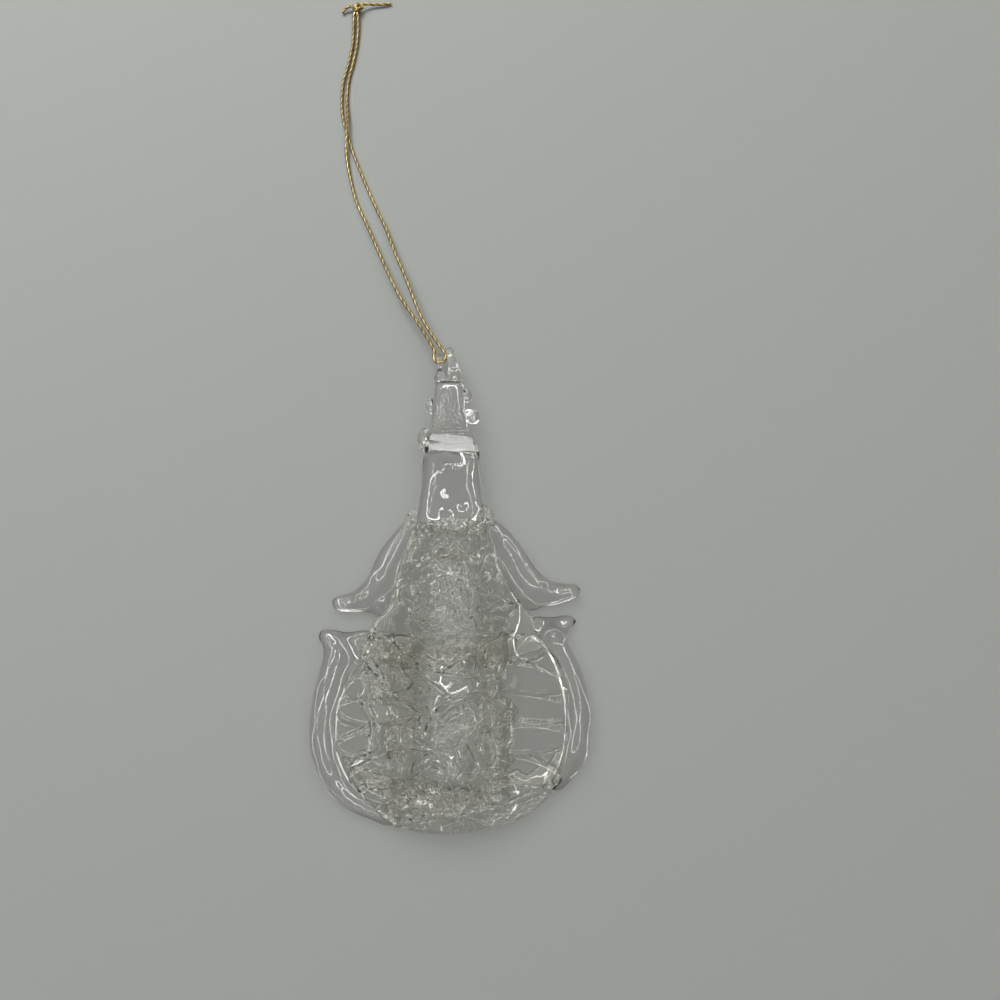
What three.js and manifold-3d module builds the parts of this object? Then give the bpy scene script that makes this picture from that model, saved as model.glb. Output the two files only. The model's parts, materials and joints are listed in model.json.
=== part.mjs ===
// A clear glass cello ornament that lies on its back, with the gold thread loop that it hangs by.
// Millimetres. +Y runs from the foot of the body to the head, +Z from the back to the front.
// The glass is flame-fused; each rod, blob and course of looped thread is a piece of its own.

import * as THREE from 'three';
import { mergeVertices } from 'three/addons/utils/BufferGeometryUtils.js';
import Module from 'manifold-3d';

const wasm = await Module();
wasm.setup();

// Driving dimensions along the ornament, from the foot of the body up.
const lowerBoutLength = 41.7;
const waistGap = 4.8;
const upperBoutLength = 17;
const neckLength = 17;
const collarHeight = 6.2;
const pegBoxLength = 12.3;
const headLength = 10.1;

// Clearances.
const weldGap = 0.4;
const threadGap = 0.3;

// Thread that the lace is looped from.
const laceThread = 1.1;
const backThread = 1.1;

// Heights of the lace above the table.
const sideHeight = 3.4;
const ridgeHeight = 10.4;
const backHeight = 1.15;
const ridgeHalfWidth = 17;
const ridgeRise = 15;
const ridgeFall = 13;

// Lace courses, from the neck down: loops in each course and how tall its loops are beside the others.
const courseLoops = [3, 4, 4, 5, 6, 5, 5, 5, 5, 6];
const throatShare = 0.66;
const coursesInThroat = 4;
const laceSmile = 0.011;
const beltHalfWidth = 13.2;
const loopOverlap = 0.36;

// Side petals and back loops.
const petalCount = 5;
const petalFoot = 7;
const backLoops = [3, 4, 5, 6, 4];

// Neck, collar and peg box: half widths and half depths.
const neckHalfWidth = 6.4;
const neckFootHalfWidth = 8.2;
const neckHalfDepth = 2.8;
const edgeRadius = 1.6;
const collarHalfWidth = 6.4;
const collarTopHalfWidth = 5.4;
const collarHalfDepth = 3.5;
const collarHeightOffTable = 5.8;
const collarLean = 0.14;
const neckBelowCollar = 1.1;
const pegBoxBelowCollar = 0.9;
const pegBoxHalfWidth = 4.7;
const pegBoxTopHalfWidth = 3.7;
const pegBoxHalfDepth = 2.7;
const pegHalfDepth = 1.6;

// Scroll rod, its ball and the cord eye.
const scrollFootRadius = 2.1;
const scrollTipRadius = 0.85;
const scrollHeight = 4.3;
const ballRadius = 1.3;
const eyeRadius = 1.7;
const eyeRod = 1.1;
const eyeX = -2;
const eyeHeight = 6;
const eyeBelowTip = 5;

// Gold thread and its knot.
const cordDiameter = 0.8;
const knotRadius = 1.8;
const knotThread = 1;

// Bouts: how far out their middle lines stand, their half depth, and the flat that the lower ones
// are pressed to while hot, where the ornament rests.
const upperLeftReach = 23.9;
const upperRightReach = 27.3;
const lowerLeftReach = 27.1;
const lowerRightReach = 27.2;
const leftBoutShortfall = 1.7;
const boutHalfDepth = 2.5;
const restingFlat = 0.3;

// Places along the ornament that follow from the sizes.
const neckFoot = lowerBoutLength + waistGap + upperBoutLength;
const collarFoot = neckFoot + neckLength;
const pegBoxFoot = collarFoot + collarHeight;
const headFoot = pegBoxFoot + pegBoxLength;
const glassLength = headFoot + headLength;
const boutHeight = boutHalfDepth - restingFlat;
const neckHeight = collarHeightOffTable - neckBelowCollar;
const headHeight = collarHeightOffTable - pegBoxBelowCollar;
const eyeY = glassLength - eyeBelowTip;

const UP = new THREE.Vector3(0, 0, 1);

const clearGlass = new THREE.MeshStandardMaterial({ color: 0xe6ebe9, roughness: 0.04, metalness: 0 });
const spunGlass = new THREE.MeshStandardMaterial({ color: 0xdfe4e2, roughness: 0.1, metalness: 0 });
const goldThread = new THREE.MeshStandardMaterial({ color: 0xb98a34, roughness: 0.35, metalness: 0.9 });

// Solids

function solidOf(geometry) {
  const bare = geometry.clone();
  bare.deleteAttribute('normal');
  bare.deleteAttribute('uv');
  const merged = mergeVertices(bare, 1e-4);
  const corners = merged.index.array;
  const kept = [];
  for (let i = 0; i < corners.length; i += 3) {
    const [a, b, c] = corners.slice(i, i + 3);
    if (a !== b && b !== c && c !== a) kept.push(a, b, c);
  }
  return new wasm.Manifold(new wasm.Mesh({
    numProp: 3,
    vertProperties: new Float32Array(merged.attributes.position.array),
    triVerts: new Uint32Array(kept),
  }));
}

function geometryOf(solid) {
  const mesh = solid.getMesh();
  const geometry = new THREE.BufferGeometry();
  geometry.setAttribute('position', new THREE.BufferAttribute(mesh.vertProperties, 3));
  geometry.setIndex(new THREE.BufferAttribute(mesh.triVerts, 1));
  geometry.computeVertexNormals();
  return geometry;
}

function joined(solids) {
  return solids.reduce((whole, solid) => whole.add(solid));
}

function cutBy(solid, ...tools) {
  return tools.reduce((rest, tool) => rest.subtract(tool), solid);
}

const table = new THREE.BoxGeometry(4 * glassLength, 4 * glassLength, glassLength);
const belowTable = solidOf(table.translate(0, 0, -glassLength / 2));

// Rods: each station is [x, y, z, half width, half depth]

function rodLines(stations) {
  const places = stations.map(([x, y, z]) => new THREE.Vector3(x, y, z));
  const sizes = stations.map(([, , , width, depth]) => new THREE.Vector3(width, depth, 0));
  return {
    line: new THREE.CatmullRomCurve3(places, false, 'catmullrom', 0.5),
    size: new THREE.CatmullRomCurve3(sizes, false, 'catmullrom', 0.5),
  };
}

function squared(value, roundness) {
  return Math.sign(value) * Math.abs(value) ** (2 / roundness);
}

function rod(stations, { sides = 8, rings = 9, caps = 2, roundness = 2, capLength, grow = 0 } = {}) {
  const { line, size } = rodLines(stations);
  const geometry = new THREE.CapsuleGeometry(1, 2, caps, sides, rings);
  const position = geometry.attributes.position;
  const at = new THREE.Vector3();
  for (let i = 0; i < position.count; i += 1) {
    at.fromBufferAttribute(position, i);
    const straight = THREE.MathUtils.clamp(at.y, -1, 1);
    const beyond = at.y - straight;
    const t = (straight + 1) / 2;
    const tangent = line.getTangent(t);
    const side = new THREE.Vector3().crossVectors(tangent, UP).normalize();
    const over = new THREE.Vector3().crossVectors(side, tangent);
    const { x: width, y: depth } = size.getPoint(t);
    const reach = (capLength ?? Math.min(width, depth)) + grow;
    const ring = Math.hypot(at.x, at.z) || 1;
    const across = ring * squared(at.x / ring, roundness) * (width + grow);
    const up = ring * squared(at.z / ring, roundness) * (depth + grow);
    const place = line.getPoint(t);
    place.addScaledVector(tangent, beyond * reach).addScaledVector(side, across).addScaledVector(over, up);
    position.setXYZ(i, place.x, place.y, place.z);
  }
  return solidOf(geometry);
}

function ellipsoid(centre, radii, grow = 0) {
  const ball = new THREE.SphereGeometry(1, 9, 6);
  ball.scale(radii[0] + grow, radii[1] + grow, radii[2] + grow);
  ball.translate(...centre);
  return solidOf(ball);
}

// Collar, laid round the top of the neck and leaning a little

function collarSolid(grow = 0) {
  const lean = collarLean * collarHeight / 2;
  const middleHalfWidth = (collarHalfWidth + collarTopHalfWidth) / 2;
  return rod([
    [0.9 - lean, collarFoot + 0.7, collarHeightOffTable - 0.1, collarHalfWidth, collarHalfDepth],
    [0.6, (collarFoot + pegBoxFoot) / 2, collarHeightOffTable, middleHalfWidth, collarHalfDepth],
    [0.3 + lean, pegBoxFoot - 0.7, collarHeightOffTable - 0.2, collarTopHalfWidth, collarHalfDepth - 0.7],
  ], { sides: 12, rings: 3, caps: 3, roundness: 2.6, capLength: 0.7, grow });
}

function neckSolid(grow = 0) {
  const middleHalfWidth = (neckHalfWidth + neckFootHalfWidth) / 2;
  const slab = rod([
    [0.7, collarFoot - 0.6, neckHeight, neckHalfWidth, neckHalfDepth],
    [0.7, (neckFoot + collarFoot) / 2, neckHeight, middleHalfWidth, neckHalfDepth],
    [0.5, neckFoot + 1.2, neckHeight, neckFootHalfWidth, neckHalfDepth + 0.2],
  ], { sides: 12, rings: 3, caps: 3, roundness: 3, capLength: 1.2, grow });
  const edge = rod([
    [neckHalfWidth - 1, collarFoot - 0.8, neckHeight + 1.6, edgeRadius, edgeRadius],
    [neckFootHalfWidth - 1.2, neckFoot + 3, neckHeight + 1.7, edgeRadius - 0.3, edgeRadius - 0.3],
  ], { rings: 3, grow });
  return slab.add(edge);
}

function pegBoxSolid(grow = 0) {
  const middleHalfWidth = (pegBoxHalfWidth + pegBoxTopHalfWidth) / 2;
  return rod([
    [0.3, pegBoxFoot - 1.5, headHeight, pegBoxHalfWidth, pegBoxHalfDepth],
    [0.1, (pegBoxFoot + headFoot) / 2, headHeight, middleHalfWidth, pegBoxHalfDepth],
    [0.2, headFoot - 1.2, headHeight, pegBoxTopHalfWidth, pegBoxHalfDepth - 0.6],
  ], { sides: 12, rings: 3, caps: 2, roundness: 2.5, capLength: 1.2, grow });
}

// Head: the scroll rod with its ball, and the eye that the thread goes through

function scrollSolid(grow = 0) {
  const middleRadius = (scrollFootRadius + scrollTipRadius) / 2;
  const stem = rod([
    [1.6, headFoot - 0.6, scrollHeight, scrollFootRadius, scrollFootRadius],
    [1.2, headFoot + headLength * 0.35, scrollHeight, middleRadius, middleRadius],
    [0.45, glassLength - ballRadius * 1.6, scrollHeight, scrollTipRadius, scrollTipRadius],
  ], { sides: 8, rings: 5, grow });
  const ballPlace = [0.3, glassLength - ballRadius, scrollHeight];
  return stem.add(ellipsoid(ballPlace, [ballRadius, ballRadius, ballRadius], grow));
}

function eyeSolid() {
  const loop = new THREE.TorusGeometry(eyeRadius, eyeRod / 2, 6, 14);
  loop.rotateY(Math.PI / 2);
  loop.translate(eyeX, eyeY, eyeHeight);
  const stemTop = eyeY - eyeRadius;
  const stem = rod([
    [eyeX, headFoot - 1, headHeight + 0.2, 1.3, 1.5],
    [eyeX, (headFoot + stemTop) / 2, (headHeight + eyeHeight) / 2, 1, 1],
    [eyeX, stemTop, eyeHeight - 0.2, eyeRod / 2 + 0.1, eyeRod / 2],
  ], { rings: 3 });
  return solidOf(loop).add(stem);
}

// Pegs: [name, side, place up the peg box, half length, how far it stands out]

const pegs = [
  ['left_upper_peg', -1, 5.9, 2, 1.8],
  ['left_lower_peg', -1, -1.3, 3, 3],
  ['right_upper_peg', 1, 8.9, 1.8, 1.6],
  ['right_lower_peg', 1, 3.3, 2.1, 2.7],
];

function pegSolid([, side, up, halfLength, proud]) {
  const share = up / pegBoxLength;
  const boxSide = THREE.MathUtils.lerp(pegBoxHalfWidth, pegBoxTopHalfWidth, share);
  const centre = [0.2 + side * boxSide, pegBoxFoot + up, headHeight - 0.2];
  return ellipsoid(centre, [proud, halfLength, pegHalfDepth]);
}

// Bouts: drawn rods. The upper pair hangs from the neck's foot, the lower pair stands on the table.
// Their stations are stretched so that the widest and the farthest of them lie at the sizes given

function stretched(rods, reach, length, foot) {
  const all = rods.flat();
  const widest = Math.max(...all.map(([x]) => Math.abs(x)));
  const farthest = Math.max(...all.map(([, y]) => Math.abs(y)));
  return rods.map((stations) => stations.map(([x, y, ...rest]) => (
    [x * reach / widest, foot + y * length / farthest, ...rest]
  )));
}

const upperLeftBout = stretched([
  [
    [-8.4, 1.3, 3.4, 1.6, 1.7],
    [-11.1, -3.2, 3.1, 2.1, 2.2],
    [-13.3, -8, 2.8, 2.6, 2.4],
    [-15.1, -13, boutHeight, 3, boutHalfDepth],
    [-15.6, -17, boutHeight, 1.9, boutHalfDepth - 0.3],
  ],
  [
    [-15.4, -13.9, boutHeight, 3.3, boutHalfDepth],
    [-18.6, -15.8, boutHeight, 2.5, 2.2],
    [-21.6, -16.6, boutHeight, 1.8, 1.7],
    [-23.9, -16.9, boutHeight, 1.75, 1.7],
  ],
], upperLeftReach, upperBoutLength, neckFoot);

const upperRightBout = stretched([
  [
    [8.5, 2.6, 3.4, 1.5, 1.7],
    [11.5, -2.2, 3.1, 2.5, 2.3],
    [14.2, -7.2, 2.8, 2.9, 2.5],
    [16.8, -12.8, boutHeight, 3.2, boutHalfDepth],
    [17.9, -17, boutHeight, 2, boutHalfDepth - 0.3],
  ],
  [
    [17.3, -13.6, boutHeight, 3.5, boutHalfDepth],
    [21.2, -15.2, boutHeight, 2.6, 2.3],
    [24.6, -15.4, boutHeight, 2, 1.9],
    [27.3, -15, boutHeight, 1.75, 1.7],
  ],
], upperRightReach, upperBoutLength, neckFoot);

const lowerLeftBout = stretched([
  [
    [-21.4, 37.6, boutHeight, 3, boutHalfDepth],
    [-23.6, 33.4, boutHeight, 3, boutHalfDepth],
    [-25.7, 28.4, boutHeight, 2.8, boutHalfDepth],
    [-26.7, 22.4, boutHeight, 2.7, boutHalfDepth],
    [-26.1, 16.4, boutHeight, 2.5, boutHalfDepth],
    [-23.6, 10.4, boutHeight, 2.4, boutHalfDepth],
    [-19.6, 5.8, boutHeight, 2.3, boutHalfDepth],
    [-14.8, 3.2, boutHeight, 1.9, boutHalfDepth - 0.3],
  ],
  [
    [-27.1, 40, boutHeight, 1.6, 1.7],
    [-24.4, 39.6, boutHeight, 1.6, 1.8],
    [-19.5, 38.8, boutHeight, 2, 2],
  ],
], lowerLeftReach, lowerBoutLength - leftBoutShortfall, 0);

const lowerRightBout = stretched([
  [
    [21.2, 39.5, boutHeight, 3.1, boutHalfDepth],
    [23.9, 34.6, boutHeight, 2.8, boutHalfDepth],
    [26.3, 29, boutHeight, 2.7, boutHalfDepth],
    [27.2, 22.8, boutHeight, 2.6, boutHalfDepth],
    [26.5, 16.6, boutHeight, 2.7, boutHalfDepth],
    [24.2, 11, boutHeight, 2.6, boutHalfDepth],
    [20.6, 6.9, boutHeight, 2.1, boutHalfDepth - 0.3],
  ],
  [
    [27.2, 41.7, boutHeight, 1, 1.1],
    [23.6, 41.7, boutHeight, 1.5, 1.6],
    [19.7, 41.1, boutHeight, 2, 2],
  ],
], lowerRightReach, lowerBoutLength, 0);

function boutSolid(rods) {
  const whole = joined(rods.map((stations) => rod(stations, { rings: Math.round(stations.length * 1.7) })));
  return cutBy(whole, belowTable);
}

function outline(rods) {
  const points = [];
  for (const stations of rods) {
    const { line, size } = rodLines(stations);
    for (let i = 0; i <= 40; i += 1) {
      const place = line.getPoint(i / 40);
      const tangent = line.getTangent(i / 40);
      const width = size.getPoint(i / 40).x;
      for (const turn of [-1, -0.7, 0.7, 1]) {
        const ahead = (i === 0 ? -1 : 1) * Math.sqrt(1 - turn * turn) * width;
        points.push([
          place.x + tangent.y * turn * width + tangent.x * ahead,
          place.y - tangent.x * turn * width + tangent.y * ahead,
        ]);
      }
    }
  }
  return points;
}

const leftOutline = [...outline(upperLeftBout), ...outline(lowerLeftBout)];
const rightOutline = [...outline(upperRightBout), ...outline(lowerRightBout)];

// How far to the side a loop of the lace may reach and stay clear of the bouts

function laceReach(points, y, halfHeight, halfWidth) {
  let reach = Infinity;
  for (const [px, py] of points) {
    const up = Math.abs(py - y) / halfHeight;
    if (up < 1) reach = Math.min(reach, Math.abs(px) + halfWidth * (1 - Math.sqrt(1 - up * up)));
  }
  return (Number.isFinite(reach) ? reach : beltHalfWidth) - threadGap;
}

function courseReach(points, y, halfHeight, bend) {
  let reach = beltHalfWidth;
  for (let pass = 0; pass < 6; pass += 1) {
    reach = laceReach(points, y + bend * reach ** 2, halfHeight, halfHeight);
  }
  return reach;
}

// Lace: the front swells up to a ridge down the middle

function frontHeight(x, y) {
  const rise = THREE.MathUtils.smoothstep(neckFoot - y, -ridgeRise * 0.6, ridgeRise);
  const fall = THREE.MathUtils.smoothstep(y, -2, ridgeFall);
  const across = Math.min(1, Math.abs(x) / ridgeHalfWidth);
  const swell = 0.5 + 0.5 * Math.cos(Math.PI * across);
  return sideHeight + (ridgeHeight - sideHeight) * rise * fall * swell;
}

function loopOn(height, x, y, halfWidth, halfHeight, thread) {
  const step = 0.05;
  const slopeX = (height(x + step, y) - height(x - step, y)) / (2 * step);
  const slopeY = (height(x, y + step) - height(x, y - step)) / (2 * step);
  const normal = new THREE.Vector3(-slopeX, -slopeY, 1).normalize();
  const loop = new THREE.TorusGeometry(1, thread / 2, 4, 9);
  const position = loop.attributes.position;
  const at = new THREE.Vector3();
  for (let i = 0; i < position.count; i += 1) {
    at.fromBufferAttribute(position, i);
    const turn = Math.atan2(at.y, at.x);
    const out = Math.hypot(at.x, at.y) - 1;
    const px = Math.cos(turn) * (halfWidth + out);
    const py = Math.sin(turn) * (halfHeight + out);
    position.setXYZ(i, px, py, at.z);
  }
  loop.applyQuaternion(new THREE.Quaternion().setFromUnitVectors(UP, normal));
  loop.translate(x, y, height(x, y));
  return solidOf(loop);
}

function chain(height, count, left, right, y, halfHeight, thread, bend) {
  const span = right - left - thread;
  const halfWidth = span / 2 / (1 + (count - 1) * (1 - loopOverlap));
  const pitch = 2 * halfWidth * (1 - loopOverlap);
  const loops = [];
  for (let i = 0; i < count; i += 1) {
    const x = left + thread / 2 + halfWidth + i * pitch;
    loops.push(loopOn(height, x, y + bend * x * x, halfWidth, halfHeight, thread));
  }
  return joined(loops);
}

const names = ['throat_lace_1', 'throat_lace_2', 'throat_lace_3', 'shoulder_lace', 'waist_lace',
  'belly_lace_1', 'belly_lace_2', 'belly_lace_3', 'belly_lace_4', 'foot_lace'];

// Courses above the belt run from bout to bout, the ones in it leave room for the petals beside them

function frontCourses() {
  const shares = names.map((_, i) => Math.min(1, throatShare + (1 - throatShare) * i / coursesInThroat));
  const whole = shares.reduce((sum, share) => sum + share);
  const room = neckFoot - names.length * threadGap;
  const courses = [];
  let top = neckFoot;
  names.forEach((name, i) => {
    const height = room * shares[i] / whole;
    const y = top - threadGap - height / 2;
    const inBelt = i > coursesInThroat && i < names.length - 1;
    const left = inBelt ? beltHalfWidth : courseReach(leftOutline, y, height / 2, laceSmile);
    const right = inBelt ? beltHalfWidth : courseReach(rightOutline, y, height / 2, laceSmile);
    const halfHeight = (height - laceThread) / 2;
    courses.push({
      name,
      solid: chain(frontHeight, courseLoops[i], -left, right, y, halfHeight, laceThread, laceSmile),
      top: y + height / 2,
      foot: y - height / 2,
      reach: { left, right },
    });
    top = y - height / 2;
  });
  return courses;
}

// Petals fill the side between the waist course and the foot course, overlapping by one thread

function petalCourse(side, points, waist, foot) {
  const footReach = side < 0 ? foot.reach.left : foot.reach.right;
  const footTop = footReach > beltHalfWidth ? foot.top + laceSmile * footReach ** 2 + threadGap : petalFoot;
  const petalTop = waist.foot + laceSmile * beltHalfWidth ** 2 - threadGap;
  const overlap = laceThread;
  const pitch = (petalTop - footTop - overlap) / petalCount;
  const halfHeight = (pitch + overlap) / 2;
  const inner = beltHalfWidth + threadGap;
  const loops = [];
  for (let i = 0; i < petalCount; i += 1) {
    const y = petalTop - halfHeight - pitch * i;
    const outer = laceReach(points, y, halfHeight, halfHeight * 1.6);
    const halfWidth = (outer - inner - laceThread) / 2;
    const x = side * (outer + inner) / 2;
    loops.push(loopOn(frontHeight, x, y, halfWidth, halfHeight - laceThread / 2, laceThread));
  }
  return joined(loops);
}

function backCourses() {
  const height = (neckFoot - 2) / backLoops.length;
  return backLoops.map((count, i) => {
    const y = neckFoot - height * (i + 0.5);
    const halfHeight = (height - threadGap - backThread) / 2;
    const left = courseReach(leftOutline, y, height / 2, 0);
    const right = courseReach(rightOutline, y, height / 2, 0);
    const loops = chain(() => backHeight, count, -left, right, y, halfHeight, backThread, 0);
    return [`back_lace_${i + 1}`, loops];
  });
}

// Gold thread, from the eye: each point is [x, y, z] from the middle of the eye

const bightRoute = [
  [-1.3, 3.3, -0.3], [-1.45, 2, -0.15], [-1.25, 0.8, -0.05], [-0.72, 0.2, 0],
  [0, 0, 0],
  [0.72, 0.2, 0], [1.25, 0.8, 0], [1.35, 2, -0.05], [0.8, 3.3, -0.2],
];

const leftRoute = [
  [-1.4, 3.75, -0.4], [-2.5, 6, -0.8], [-6.2, 13.2, -2.1], [-10.7, 21.3, -3.2], [-15.3, 32.4, -4.3],
  [-19.9, 44.3, -5.2], [-22.5, 50.6, -5.4], [-24.6, 58.5, -5.5], [-26, 66.7, -5.1],
  [-26.1, 73.7, -4.4], [-26.2, 79.5, -5], [-26.7, 85.9, -5.5], [-26.6, 92.5, -5.5],
  [-25.5, 99.5, -5.5], [-24.6, 107.5, -5.4], [-24.7, 116.3, -5],
];

const rightRoute = [
  [0.55, 3.75, -0.25], [-1.1, 6.6, -0.8], [-3.7, 11.6, -1.8], [-5.8, 16.6, -2.4], [-8.6, 25.1, -3.4],
  [-11.8, 33.9, -4.3], [-14.8, 42.8, -5], [-17.4, 49.1, -5.4], [-20.9, 58.1, -5.6],
  [-24.4, 67.9, -5.6], [-26.1, 73.9, -5.6], [-27.6, 79.5, -5.6], [-28.2, 85.9, -5.6], [-28, 92.5, -5.6],
  [-26.8, 99.5, -5.6], [-25.9, 107.5, -5.5], [-25.9, 116.3, -5],
];

const knotPlace = [-25.3, 119.3, -4.6];
const tailRoute = [[-24, 120.6, -4.6], [-21, 121.3, -5], [-17.6, 121.5, -5.4], [-15.2, 122.1, -5.5]];
const shortTailRoute = [[-26.6, 120.3, -4.8], [-28.2, 119.9, -5.2], [-29.3, 118.5, -5.4]];

function threadSolid(route, steps) {
  const points = route.map(([x, y, z]) => new THREE.Vector3(eyeX + x, eyeY + y, eyeHeight + z));
  const path = new THREE.CatmullRomCurve3(points, false, 'centripetal');
  const section = new THREE.Shape();
  for (let i = 0; i < 8; i += 1) {
    const turn = (i + 0.5) * Math.PI / 4;
    section[i ? 'lineTo' : 'moveTo'](Math.cos(turn) * cordDiameter / 2, Math.sin(turn) * cordDiameter / 2);
  }
  section.closePath();
  return solidOf(new THREE.ExtrudeGeometry(section, { steps, bevelEnabled: false, extrudePath: path }));
}

function knotSolid() {
  const knot = new THREE.TorusKnotGeometry(knotRadius, knotThread / 2, 36, 5, 2, 3);
  knot.translate(eyeX + knotPlace[0], eyeY + knotPlace[1], eyeHeight + knotPlace[2]);
  return joined([solidOf(knot), threadSolid(tailRoute, 5), threadSolid(shortTailRoute, 3)]);
}

// The ornament

const ornament = new THREE.Group();

function piece(name, solid, material) {
  const mesh = new THREE.Mesh(geometryOf(solid), material);
  mesh.name = name;
  ornament.add(mesh);
}

const grownNeck = neckSolid(weldGap);
const grownCollar = collarSolid(weldGap);
const grownPegBox = pegBoxSolid(weldGap);
const grownScroll = scrollSolid(weldGap);

piece('neck', cutBy(neckSolid(), grownCollar), clearGlass);
piece('collar', collarSolid(), clearGlass);
piece('peg_box', cutBy(pegBoxSolid(), grownCollar), clearGlass);
piece('scroll_rod', cutBy(scrollSolid(), grownPegBox), clearGlass);
piece('cord_eye', cutBy(eyeSolid(), grownPegBox, grownScroll), clearGlass);
for (const peg of pegs) {
  piece(peg[0], cutBy(pegSolid(peg), grownPegBox, grownCollar), clearGlass);
}
piece('upper_left_bout', cutBy(boutSolid(upperLeftBout), grownNeck), clearGlass);
piece('upper_right_bout', cutBy(boutSolid(upperRightBout), grownNeck), clearGlass);
piece('lower_left_bout', boutSolid(lowerLeftBout), clearGlass);
piece('lower_right_bout', boutSolid(lowerRightBout), clearGlass);
const courses = frontCourses();
for (const { name, solid } of courses) piece(name, solid, spunGlass);
const waist = courses[coursesInThroat];
const foot = courses[courses.length - 1];
piece('left_petal_lace', petalCourse(-1, leftOutline, waist, foot), spunGlass);
piece('right_petal_lace', petalCourse(1, rightOutline, waist, foot), spunGlass);
for (const [name, solid] of backCourses()) piece(name, solid, spunGlass);

// The origin is on the table under the middle of the glass, and the thread is added after it is found
const glassBox = new THREE.Box3().setFromObject(ornament);
const middle = glassBox.getCenter(new THREE.Vector3());
ornament.position.set(-middle.x, -middle.y, -glassBox.min.z);

piece('cord_bight', threadSolid(bightRoute, 14), goldThread);
piece('cord_left_strand', threadSolid(leftRoute, 32), goldThread);
piece('cord_right_strand', threadSolid(rightRoute, 32), goldThread);
piece('cord_knot', knotSolid(), goldThread);

export default ornament;
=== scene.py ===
import json
import math
import random
from functools import lru_cache

import bpy
from bpy.props import FloatProperty, FloatVectorProperty, IntProperty, PointerProperty
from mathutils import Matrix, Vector, noise
from mathutils.geometry import interpolate_bezier


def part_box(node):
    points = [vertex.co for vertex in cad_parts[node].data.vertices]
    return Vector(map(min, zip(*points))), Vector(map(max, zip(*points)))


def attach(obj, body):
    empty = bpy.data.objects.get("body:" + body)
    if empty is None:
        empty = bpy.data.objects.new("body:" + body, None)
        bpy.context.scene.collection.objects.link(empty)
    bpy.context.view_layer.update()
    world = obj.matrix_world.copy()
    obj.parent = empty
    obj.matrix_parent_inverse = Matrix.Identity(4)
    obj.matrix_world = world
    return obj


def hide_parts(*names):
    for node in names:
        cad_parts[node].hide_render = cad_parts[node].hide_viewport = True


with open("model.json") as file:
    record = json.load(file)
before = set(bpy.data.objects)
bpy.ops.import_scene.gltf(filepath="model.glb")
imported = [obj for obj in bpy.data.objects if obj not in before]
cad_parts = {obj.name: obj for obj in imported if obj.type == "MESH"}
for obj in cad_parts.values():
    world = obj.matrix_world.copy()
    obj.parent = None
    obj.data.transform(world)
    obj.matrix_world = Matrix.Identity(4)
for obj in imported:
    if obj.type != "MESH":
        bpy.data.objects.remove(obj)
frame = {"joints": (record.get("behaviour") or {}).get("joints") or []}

bl_info = {
    "name": "Glass cello ornament",
    "version": (1, 0, 0),
    "blender": (4, 5, 0),
    "location": "3D View > Sidebar > Cello",
    "description": "Clear glass, spun glass lace and a gold thread loop on the cello ornament's frame",
    "category": "Object",
}

# Places are written in millimetres from the foot of the body, as the ornament lies on its back:
# +Y runs up to the head and +Z off the table. The eye's middle is where the frame's joint has its axis.
MM = 0.001
EYE = Vector((-2, 104.1, 6))
BODY_FOOT = Vector(frame["joints"][0]["pos_m"]) - EYE * MM
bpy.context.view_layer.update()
NECK_FOOT = 63.5


def at(place):
    """A place on the ornament, in metres in the frame"""
    return BODY_FOOT + Vector(place) * MM


# What a user may change

class CelloStage(bpy.types.PropertyGroup):
    table: FloatVectorProperty(name="Table", description="Colour of the table", subtype="COLOR",
                               default=(0.345, 0.355, 0.335))
    surroundings: FloatVectorProperty(name="Room", description="Colour of the room around the table",
                                      subtype="COLOR", default=(0.36, 0.36, 0.335))
    far_side: FloatVectorProperty(name="Far side", description="Colour of the room beyond the head",
                                  subtype="COLOR", default=(0.2, 0.185, 0.15))
    lens: FloatProperty(name="Lens", description="Focal length on a 36 mm sensor", default=27.04)
    ring_light: FloatProperty(name="Ring lamp", description="Power of the ring lamp, seen in the glass",
                              default=72, unit="POWER")
    sky_light: FloatProperty(name="Ceiling", description="Power of the wide light overhead",
                             default=25, unit="POWER")
    window_light: FloatProperty(name="Window", description="Power of the soft light from the upper left",
                                default=12, unit="POWER")
    doorway_light: FloatProperty(name="Doorway", default=36, unit="POWER",
                                 description="Power of the glow seen in the glass's near side")


class CelloGlass(bpy.types.PropertyGroup):
    tint: FloatVectorProperty(name="Tint", description="Colour of the clear glass", subtype="COLOR",
                              default=(0.965, 0.962, 0.945))
    spun_tint: FloatVectorProperty(name="Lace tint", description="Colour of the spun glass",
                                   subtype="COLOR", default=(0.925, 0.92, 0.885))
    ior: FloatProperty(name="Refraction", description="Index of refraction of the glass", default=1.5)
    melt: FloatProperty(name="Melt", description="Grid at which joined glass is melted together",
                        default=0.26 * MM, unit="LENGTH")


class CelloLace(bpy.types.PropertyGroup):
    coarse: FloatProperty(name="Coarse thread", description="Thickness of the thread at the back",
                          default=1.15 * MM, unit="LENGTH")
    melt: FloatProperty(name="Melt", description="Grid at which the loops are melted together",
                        default=0.2 * MM, unit="LENGTH")
    seed: IntProperty(name="Seed", description="Number that the loops' unevenness starts from", default=7)


class CelloThread(bpy.types.PropertyGroup):
    diameter: FloatProperty(name="Diameter", description="Thickness of the gold thread",
                            default=0.8 * MM, unit="LENGTH")
    twist: FloatProperty(name="Twist", description="Length in which the thread turns once",
                         default=4.2 * MM, unit="LENGTH")
    gold: FloatVectorProperty(name="Gold", description="Colour of the thread's foil", subtype="COLOR",
                              default=(0.62, 0.47, 0.19))
    # Painted shade: a dark brown that the gold material puts in the grooves between the thread's turns
    core: FloatVectorProperty(name="Groove_shade", description="Colour of the thread between its turns",
                              subtype="COLOR", default=(0.13, 0.09, 0.03))


# Modelling aids

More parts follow.
